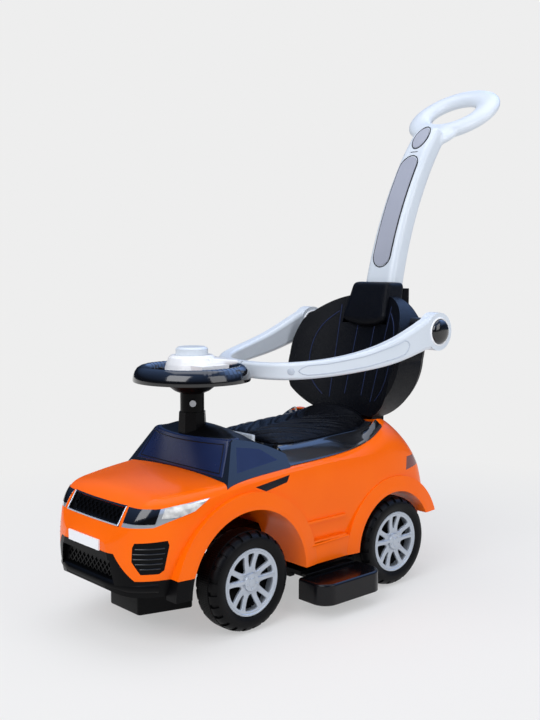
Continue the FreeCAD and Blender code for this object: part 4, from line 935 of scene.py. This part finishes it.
def make_handle_lines():
    lines = [handle_bead(ring + ring[:2], EDGE_LINE) for ring in (inlay_outline(), badge_outline())]
    shares = [2 * step / HANDLE_SLOT_STEPS - 1 for step in range(HANDLE_SLOT_STEPS + 1)]
    lines.append(handle_bead([(HANDLE_SLOT_HALF * share, HANDLE_SLOT_LEVEL) for share in shares], SLOT_LINE))
    return joined("handle_lines", lines)


dress(make_handle_lines(), LINE_BLACK, "chassis", "black_matt")


# Cowl: a bowed windscreen in front of the column, a hump behind it

SCREEN_HALF_LOW, SCREEN_HALF_HIGH = 0.109, 0.091
SCREEN_LOW, SCREEN_HIGH, SCREEN_BOW, SCREEN_LIFT = 0.2290, 0.2800, 0.0250, 0.0006
COWL_FOOT_Y, COWL_FOOT_Z, COWL_RAKE = -0.2766, 0.228, 0.5716
PANE_DEPTH, PANE_ROUNDING, PANE_EDGE, PANE_ACROSS, PANE_ALONG = 0.022, 0.002, 40, 48, 24
SCREEN_FRAME = [(-0.93, 0.10), (0.93, 0.10), (0.93, 0.86), (-0.93, 0.86), (-0.93, 0.10)]
SCREEN_LINE, SCREEN_LINE_STEPS = 0.0008, 16
COWL_TOP = [(-0.275, 0.2790), (-0.240, 0.2790), (-0.230, 0.2779), (-0.200, 0.2703), (-0.170, 0.2584),
            (-0.153, 0.2498)]
HUMP_HALF, HUMP_FRONT_GAP, HUMP_LIFT, HUMP_RISE, HUMP_BACK = 0.091, 0.001, 0.0004, 0.017, 0.003
HUMP_LEAN, HUMP_POWER, HUMP_ACROSS, HUMP_ALONG, HUMP_SMOOTH = 0.72, 2.4, 48, 40, 50


def screen_point(u, v):
    x = (SCREEN_HALF_LOW + (SCREEN_HALF_HIGH - SCREEN_HALF_LOW) * v) * u
    z = SCREEN_LOW + (SCREEN_HIGH - SCREEN_LOW) * v
    plain = COWL_FOOT_Y + COWL_RAKE * (z - COWL_FOOT_Z)
    return Vector((x, plain - SCREEN_BOW * v * (1 - u * u) - SCREEN_LIFT, z))


def make_windscreen():
    pane = backed_sheet("windscreen_pane", PANE_ACROSS, PANE_ALONG, screen_point, (0, PANE_DEPTH, 0))
    apply_modifier(pane, "BEVEL", width=PANE_ROUNDING, segments=3, limit_method="ANGLE",
                   angle_limit=math.radians(PANE_EDGE))
    smooth(pane, PANE_EDGE)
    return pane


def make_screen_lines():
    lines = []
    for (u0, v0), (u1, v1) in zip(SCREEN_FRAME, SCREEN_FRAME[1:]):
        shares = [step / SCREEN_LINE_STEPS for step in range(SCREEN_LINE_STEPS + 1)]
        points = [screen_point(u0 + (u1 - u0) * share, v0 + (v1 - v0) * share) for share in shares]
        lines.append(bead("screen_line", points, SCREEN_LINE))
    return joined("windscreen_lines", lines)


def hump_point(u, v):
    front, rear = screen_point(u, 1).y + HUMP_FRONT_GAP, COWL_TOP[-1][0]
    y = front + (rear - front) * v
    swelling = math.sin(math.pi * min(max(v, 0), 1) ** HUMP_LEAN) ** 2
    rise = HUMP_RISE * swelling * (1 - abs(u) ** HUMP_POWER)
    return HUMP_HALF * u, y, read_off(COWL_TOP, y) + HUMP_LIFT + rise


def make_hump():
    hump = backed_sheet("cowl_hump", HUMP_ACROSS, HUMP_ALONG, hump_point, (0, 0, -HUMP_BACK))
    smooth(hump, HUMP_SMOOTH)
    return hump


# The windscreen pane's navy is partly its dark tint and partly a painted sky reflection
dress(make_windscreen(), WINDOW_DARK_AND_REFLECTION, "chassis", "black_gloss", "windscreen")
dress(make_screen_lines(), LINE_BLACK, "chassis", "black_matt")
dress(make_hump(), MATT_BLACK, "chassis", "black_matt")


# Horn: a wedge from the cover's boss to the rim, and the coil that the button presses down

WING_ROOT, WING_TIP, WING_ROUNDING = (0.0275, 0.027, 0.3795, 0.3965), (0.071, 0.006, 0.3865, 0.3915), 0.0022
WING_TURN, WING_SMOOTH = 48, 40
COIL_LOW, COIL_HIGH = 0.3830, 0.3947
COIL_RADIUS, COIL_WIRE = 0.0080, 0.0008
COIL_TURNS, COIL_TURN_STEPS, COIL_SMOOTH = 5, 14, 60


def make_horn_wing():
    wing = column_wedge("horn_wing", WING_ROOT, WING_TIP, WING_ROUNDING, WING_TURN)
    smooth(wing, WING_SMOOTH)
    return wing


def make_horn_coil():
    steps = COIL_TURNS * COIL_TURN_STEPS
    low, high = COIL_LOW + COIL_WIRE, COIL_HIGH - COIL_WIRE
    points = []
    for step in range(steps + 1):
        across, along = polar(COIL_RADIUS, 360 * step / COIL_TURN_STEPS)
        points.append(STEER_CENTRE + Vector((across, along, low + (high - low) * step / steps)))
    coil = bead("horn_coil", points, COIL_WIRE)
    smooth(coil, COIL_SMOOTH)
    return coil


dress(make_horn_wing(), WHITE, "steering", "white")
horn_coil = dress(make_horn_coil(), STEEL, "steering", "steel", "horn_spring")
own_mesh(horn_coil)


# Seat lid: a full skirt from the cushion's edge down to the deck, and a wide pull tab at its front

SKIRT_FRONT, SKIRT_REAR, SKIRT_ROWS, SKIRT_STEPS = -0.1485, 0.066, 48, 4
SKIRT_WALL, SKIRT_LIFT, SKIRT_SMOOTH, DECK_ABOVE = 0.0012, 0.0012, 50, 0.6
SKIRT_TOP_X, SKIRT_TOP_GAP, SKIRT_FOOT_X = 0.092, 0.002, 0.118
FLARE_START, FLARE_RISE, FLARE_NARROW, FLARE_INWARD = 0.010, 0.008, 0.005, 0.026
TAB_HALF, TAB_FRONT, TAB_REAR, TAB_LOW, TAB_HIGH = 0.038, -0.1565, -0.1495, 0.2535, 0.2680
TAB_TAPER, TAB_ROUNDING, TAB_SMOOTH = 0.004, 0.0028, 40


def deck_height(x, y):
    place = surface_point("body_shell", (x, y, DECK_ABOVE), -UP)
    return place.z if place else 0


def skirt_section(side, y):
    share = max((y - FLARE_START) / (SKIRT_REAR - FLARE_START), 0)
    deck_top = deck_height(side * SKIRT_TOP_X, y) + SKIRT_TOP_GAP
    top = max(lid_top(y) + FLARE_RISE * share * share, deck_top)
    narrow = FLARE_NARROW * share ** 4
    foot = deck_height(side * (SKIRT_FOOT_X - narrow), y) + SKIRT_LIFT
    inward = FLARE_INWARD * share
    tall = top - foot
    section = [(0.082 - inward, top - 0.002), (0.0875 - inward, top), (0.0925, top - 0.0012),
               (0.0965, top - 0.0045), (0.110, foot + 0.30 * tall), (0.1165, foot + 0.06 * tall),
               (SKIRT_FOOT_X, foot), (0.112, foot)]
    spots = []
    for (x0, z0), (x1, z1) in zip(section, section[1:]):
        for step in range(SKIRT_STEPS):
            part = step / SKIRT_STEPS
            spots.append((side * (x0 + (x1 - x0) * part - narrow), z0 + (z1 - z0) * part))
    return [(x, y, max(z, deck_height(x, y) + SKIRT_LIFT)) for x, z in spots]


def make_skirt(side):
    step = (SKIRT_REAR - SKIRT_FRONT) / SKIRT_ROWS
    rows = [skirt_section(side, SKIRT_FRONT + step * row) for row in range(SKIRT_ROWS + 1)]
    skirt = grid("lid_skirt", len(rows[0]) - 1, SKIRT_ROWS)
    spots = [spot for row in rows for spot in row]
    for vertex, spot in zip(skirt.data.vertices, spots):
        vertex.co = spot
    apply_modifier(skirt, "SOLIDIFY", thickness=SKIRT_WALL, offset=-1)
    close_up(skirt)
    smooth(skirt, SKIRT_SMOOTH)
    return skirt


def make_tab():
    deselect()
    bpy.ops.mesh.primitive_cube_add(size=1)
    tab = named("pull_tab_flap")
    for vertex in tab.data.vertices:
        taper = TAB_TAPER if vertex.co.z > 0 else 0
        x = math.copysign(TAB_HALF - taper, vertex.co.x)
        y = (TAB_REAR if vertex.co.y > 0 else TAB_FRONT) + taper
        vertex.co = (x, y, TAB_HIGH if vertex.co.z > 0 else TAB_LOW)
    apply_modifier(tab, "BEVEL", width=TAB_ROUNDING, segments=4)
    smooth(tab, TAB_SMOOTH)
    return tab


dress(joined("lid_skirt", [make_skirt(side) for side in SIDES.values()]), GLOSS_BLACK, "seat", "black_gloss")
dress(make_tab(), PALE, "seat", "pale_grey", "seat_pull_tab")


# Headrest: the block with its edges rounded off and a bowed lower edge

HEAD_LOW, HEAD_HIGH, HEAD_HALF = 0.432, 0.506, 0.053
HEAD_BOW, HEAD_DROP = 0.010, 0.005
HEAD_VOXEL, HEAD_ROUNDS, HEAD_SMOOTH = 0.0024, 12, 60


def make_headrest():
    pad = merged_copy("headrest_pad", "headrest")
    melt(pad, HEAD_VOXEL, HEAD_ROUNDS)
    for vertex in pad.data.vertices:
        share = max(1 - (vertex.co.z - HEAD_LOW) / (HEAD_HIGH - HEAD_LOW) * 2, 0)
        vertex.co.z += share * (HEAD_BOW * (vertex.co.x / HEAD_HALF) ** 2 - HEAD_DROP)
    smooth(pad, HEAD_SMOOTH)
    return pad


dress(make_headrest(), SEAT_BLACK, "chassis", "seat_black", "headrest")


# Guard arms: a long groove with a plug at its end, rings and a domed cap at the pivot

# Each row has the arm's x, y, z, its height and its turn in degrees
ARM_ROWS = [(0.152, 0.104, 0.415, 0.048, 0), (0.148, 0.052, 0.398, 0.040, 6),
            (0.138, -0.008, 0.385, 0.032, 14), (0.116, -0.070, 0.376, 0.028, 30),
            (0.076, -0.117, 0.371, 0.027, 58)]
ARM_CLEAR = 0.05
ARM_PIVOT, ARM_INNER = Vector((0.163, 0.152, 0.425)), 0.1405
GROOVE_START, GROOVE_END, GROOVE_STEPS = 0.50, 3.69, 44
GROOVE_HALF, GROOVE_TAPER_STEPS, GROOVE_RADIUS = 0.27, 3, 0.0009
PLUG_PLACE, PLUG_STEPS = 3.86, 32
PLUG_SECTION = [(-0.002, 0.0001), (-0.002, 0.0058), (0.0003, 0.0058), (0.0008, 0.0050), (0.0010, 0.0001)]
OUTER_RING, OUTER_BAND, INNER_RING, INNER_BAND = 0.0226, 0.0018, 0.0240, 0.0016
DOME_SECTION = [(0, 0.0001), (0, 0.0208), (0.0026, 0.0205), (0.0050, 0.0188), (0.0070, 0.0155),
                (0.0083, 0.0108), (0.0089, 0.0055), (0.0090, 0.0001)]
DOME_STEPS, ARM_SMOOTH = 64, 60


def arm_spot(place, rise):
    row = min(int(place), len(ARM_ROWS) - 2)
    pairs = zip(ARM_ROWS[row], ARM_ROWS[row + 1])
    x, y, z, height, turn = [near + (far - near) * (place - row) for near, far in pairs]
    outward = Vector((math.cos(math.radians(turn)), -math.sin(math.radians(turn)), 0))
    start = Vector((x, y, z + rise * height)) + outward * ARM_CLEAR
    return surface_point("guard_arm_left", start, -outward), outward


def groove_outline():
    line = []
    for step in range(GROOVE_STEPS + 1):
        place = GROOVE_START + (GROOVE_END - GROOVE_START) * step / GROOVE_STEPS
        taper = min(step, GROOVE_STEPS - step, GROOVE_TAPER_STEPS) / GROOVE_TAPER_STEPS
        line.append((place, GROOVE_HALF * math.sqrt(taper)))
    return line + [(place, -rise) for place, rise in reversed(line[1:-1])] + line[:2]


def make_plug():
    place, outward = arm_spot(PLUG_PLACE, 0)
    plug = spun("arm_plug", PLUG_SECTION, PLUG_STEPS)
    plug.rotation_euler = (0, 0, math.atan2(outward.y, outward.x))
    plug.location = place
    settle(plug)
    smooth(plug)
    return plug


# The groove is a raised line painted darker grey as the groove's shade; the plug shares that grey
def make_groove(name):
    line = [arm_spot(place, rise)[0] for place, rise in groove_outline()]
    return joined(name, [bead("arm_groove", line, GROOVE_RADIUS), make_plug()])


def pivot_ring(x, radius, band):
    deselect()
    bpy.ops.mesh.primitive_torus_add(major_radius=radius, minor_radius=band, major_segments=64,
                                     minor_segments=12, location=(x, ARM_PIVOT.y, ARM_PIVOT.z),
                                     rotation=(0, math.radians(90), 0))
    ring = named("pivot_ring")
    settle(ring)
    smooth(ring, ARM_SMOOTH)
    return ring


def make_pivot_rings(name):
    rings = [pivot_ring(ARM_PIVOT.x, OUTER_RING, OUTER_BAND), pivot_ring(ARM_INNER, INNER_RING, INNER_BAND)]
    return joined(name, rings)


def make_dome(name):
    dome = spun(name, DOME_SECTION, DOME_STEPS)
    dome.location = ARM_PIVOT
    settle(dome)
    smooth(dome, ARM_SMOOTH)
    return dome


for side_name, side in SIDES.items():
    arm = "guard_" + side_name
    groove = mirror_over(make_groove("arm_groove_" + side_name), side)
    dress(groove, GROOVE_PAINTED_SHADE, arm, "pale_grey")
    rings = mirror_over(make_pivot_rings("pivot_rings_" + side_name), side)
    dress(rings, WHITE, arm, "white")
    dome = mirror_over(make_dome("cap_dome_" + side_name), side)
    dress(dome, GLOSS_BLACK, arm, "black_gloss", "guard_cap_" + side_name)


# Sills between the wheel arches, and the edges of the floor pan under them

SILL_FRONT, SILL_REAR, SILL_LOW, SILL_HIGH = -0.128, -0.022, 0.0735, 0.106
SILL_MIDDLE, SILL_ABOVE, SILL_OUTSIDE = -0.085, 0.004, 0.4
SILL_WALL, SILL_SINK, SILL_ROUNDING, SILL_SMOOTH = 0.004, 0.0004, 0.0012, 40
STRIP_LINE = [(-0.126, 0.1040), (-0.098, 0.1047), (-0.068, 0.1055), (-0.040, 0.1065)]
STRIP_RADIUS, STRIP_SINK = 0.0022, 0.0004
PAN_INNER, PAN_OUTER, PAN_LOW, PAN_HIGH, PAN_ROUNDING = 0.1205, 0.1345, 0.0568, 0.0605, 0.001


def make_sill():
    start = (SILL_OUTSIDE, SILL_MIDDLE, SILL_HIGH + SILL_ABOVE)
    face = surface_point("body_shell", start, (-1, 0, 0)).x - SILL_SINK
    low, high = (face - SILL_WALL, SILL_FRONT, SILL_LOW), (face, SILL_REAR, SILL_HIGH)
    panel = block("sill_panel", low, high, SILL_ROUNDING)
    strip = bead("sill_strip", [(face - STRIP_SINK, y, z) for y, z in STRIP_LINE], STRIP_RADIUS)
    return joined("sill_panels", [panel, strip])


def make_pan_edge():
    low, high = (PAN_INNER, SILL_FRONT, PAN_LOW), (PAN_OUTER, SILL_REAR, PAN_HIGH)
    return block("pan_edges", low, high, PAN_ROUNDING)


def on_both_sides(name, make):
    pair = joined(name, [mirror_over(make(), side) for side in SIDES.values()])
    smooth(pair, SILL_SMOOTH)
    return pair


dress(on_both_sides("sill_panels", make_sill), ORANGE, "chassis", "body_orange")
dress(on_both_sides("pan_edges", make_pan_edge), MATT_BLACK, "chassis", "black_matt")


# Pale floor, soft lights and backdrop

PALE_WALL = (0.855, 0.855, 0.855, 1)
FLOOR_GREY, FLOOR_ROUGHNESS, FLOOR_SIZE = (0.82, 0.82, 0.82, 1), 0.9, 60
FLOOR_FADE, FLOOR_GLOW = (0.3, 1.1), (0.5, 1)
SKY_BLUE, SKY_STRENGTH, DUSK_BLUE = (0.86, 0.9, 1.0, 1), 0.5, (0.3, 0.5, 1.0, 1)
DUSK_HEIGHTS, DUSK_STRENGTHS = (0.2, 0.85), (0.03, 0.8)
BEHIND_REACH, BEHIND_GAINS = (0.45, 0.7), (1, 5)
LIGHT_AIM = Vector((0, -0.1, 0.3))


def mixed(tree, share, first, second):
    mix = tree.nodes.new("ShaderNodeMixShader")
    tree.links.new(share, mix.inputs["Fac"])
    tree.links.new(first, mix.inputs[1])
    tree.links.new(second, mix.inputs[2])
    return mix.outputs["Shader"]


def backdrop():
    world = bpy.data.worlds.new("studio")
    bpy.context.scene.world = world
    world.use_nodes = True
    tree = world.node_tree
    sky = tree.nodes["Background"]
    sky.inputs["Color"].default_value = SKY_BLUE
    sky.inputs["Strength"].default_value = SKY_STRENGTH
    wall = tree.nodes.new("ShaderNodeBackground")
    wall.inputs["Color"].default_value = PALE_WALL
    dusk = tree.nodes.new("ShaderNodeBackground")
    dusk.inputs["Color"].default_value = DUSK_BLUE
    place = tree.nodes.new("ShaderNodeTexCoord")
    axes = tree.nodes.new("ShaderNodeSeparateXYZ")
    tree.links.new(place.outputs["Generated"], axes.inputs["Vector"])
    glow = tree.nodes.new("ShaderNodeMath")
    glow.operation = "MULTIPLY"
    tree.links.new(map_range(tree, axes.outputs["Z"], DUSK_HEIGHTS, DUSK_STRENGTHS), glow.inputs[0])
    tree.links.new(map_range(tree, axes.outputs["Y"], BEHIND_REACH, BEHIND_GAINS), glow.inputs[1])
    tree.links.new(glow.outputs["Value"], dusk.inputs["Strength"])
    path = tree.nodes.new("ShaderNodeLightPath")
    mirror = mixed(tree, path.outputs["Is Glossy Ray"], sky.outputs["Background"], dusk.outputs["Background"])
    seen = mixed(tree, path.outputs["Is Camera Ray"], mirror, wall.outputs["Background"])
    tree.links.new(seen, tree.nodes["World Output"].inputs["Surface"])


def floor():
    deselect()
    bpy.ops.mesh.primitive_plane_add(size=FLOOR_SIZE, location=(0, 0, 0))
    plane = named("floor")
    material = bpy.data.materials.new("floor")
    material.use_nodes = True
    tree = material.node_tree
    shader = tree.nodes["Principled BSDF"]
    shader.inputs["Base Color"].default_value = FLOOR_GREY
    shader.inputs["Roughness"].default_value = FLOOR_ROUGHNESS
    glow = tree.nodes.new("ShaderNodeEmission")
    glow.inputs["Color"].default_value = PALE_WALL
    place = tree.nodes.new("ShaderNodeTexCoord")
    length = tree.nodes.new("ShaderNodeVectorMath")
    length.operation = "LENGTH"
    tree.links.new(place.outputs["Object"], length.inputs[0])
    fade = map_range(tree, length.outputs["Value"], FLOOR_FADE, FLOOR_GLOW)
    surface = mixed(tree, fade, shader.outputs["BSDF"], glow.outputs["Emission"])
    tree.links.new(surface, tree.nodes["Material Output"].inputs["Surface"])
    plane.data.materials.append(material)


def softbox(name, place, size, power):
    lamp = bpy.data.objects.new(name, bpy.data.lights.new(name, "AREA"))
    bpy.context.scene.collection.objects.link(lamp)
    lamp.data.size = size
    lamp.data.energy = power
    lamp.location = place
    lamp.rotation_mode = "QUATERNION"
    lamp.rotation_quaternion = (LIGHT_AIM - Vector(place)).to_track_quat("-Z", "Y")


backdrop()
floor()
softbox("key_light", (0.9, -2.6, 2.4), 2.2, 60)
softbox("side_light", (2.8, 0.6, 1.6), 1.8, 24)
softbox("top_light", (-0.3, 0.2, 3.0), 2.4, 30)
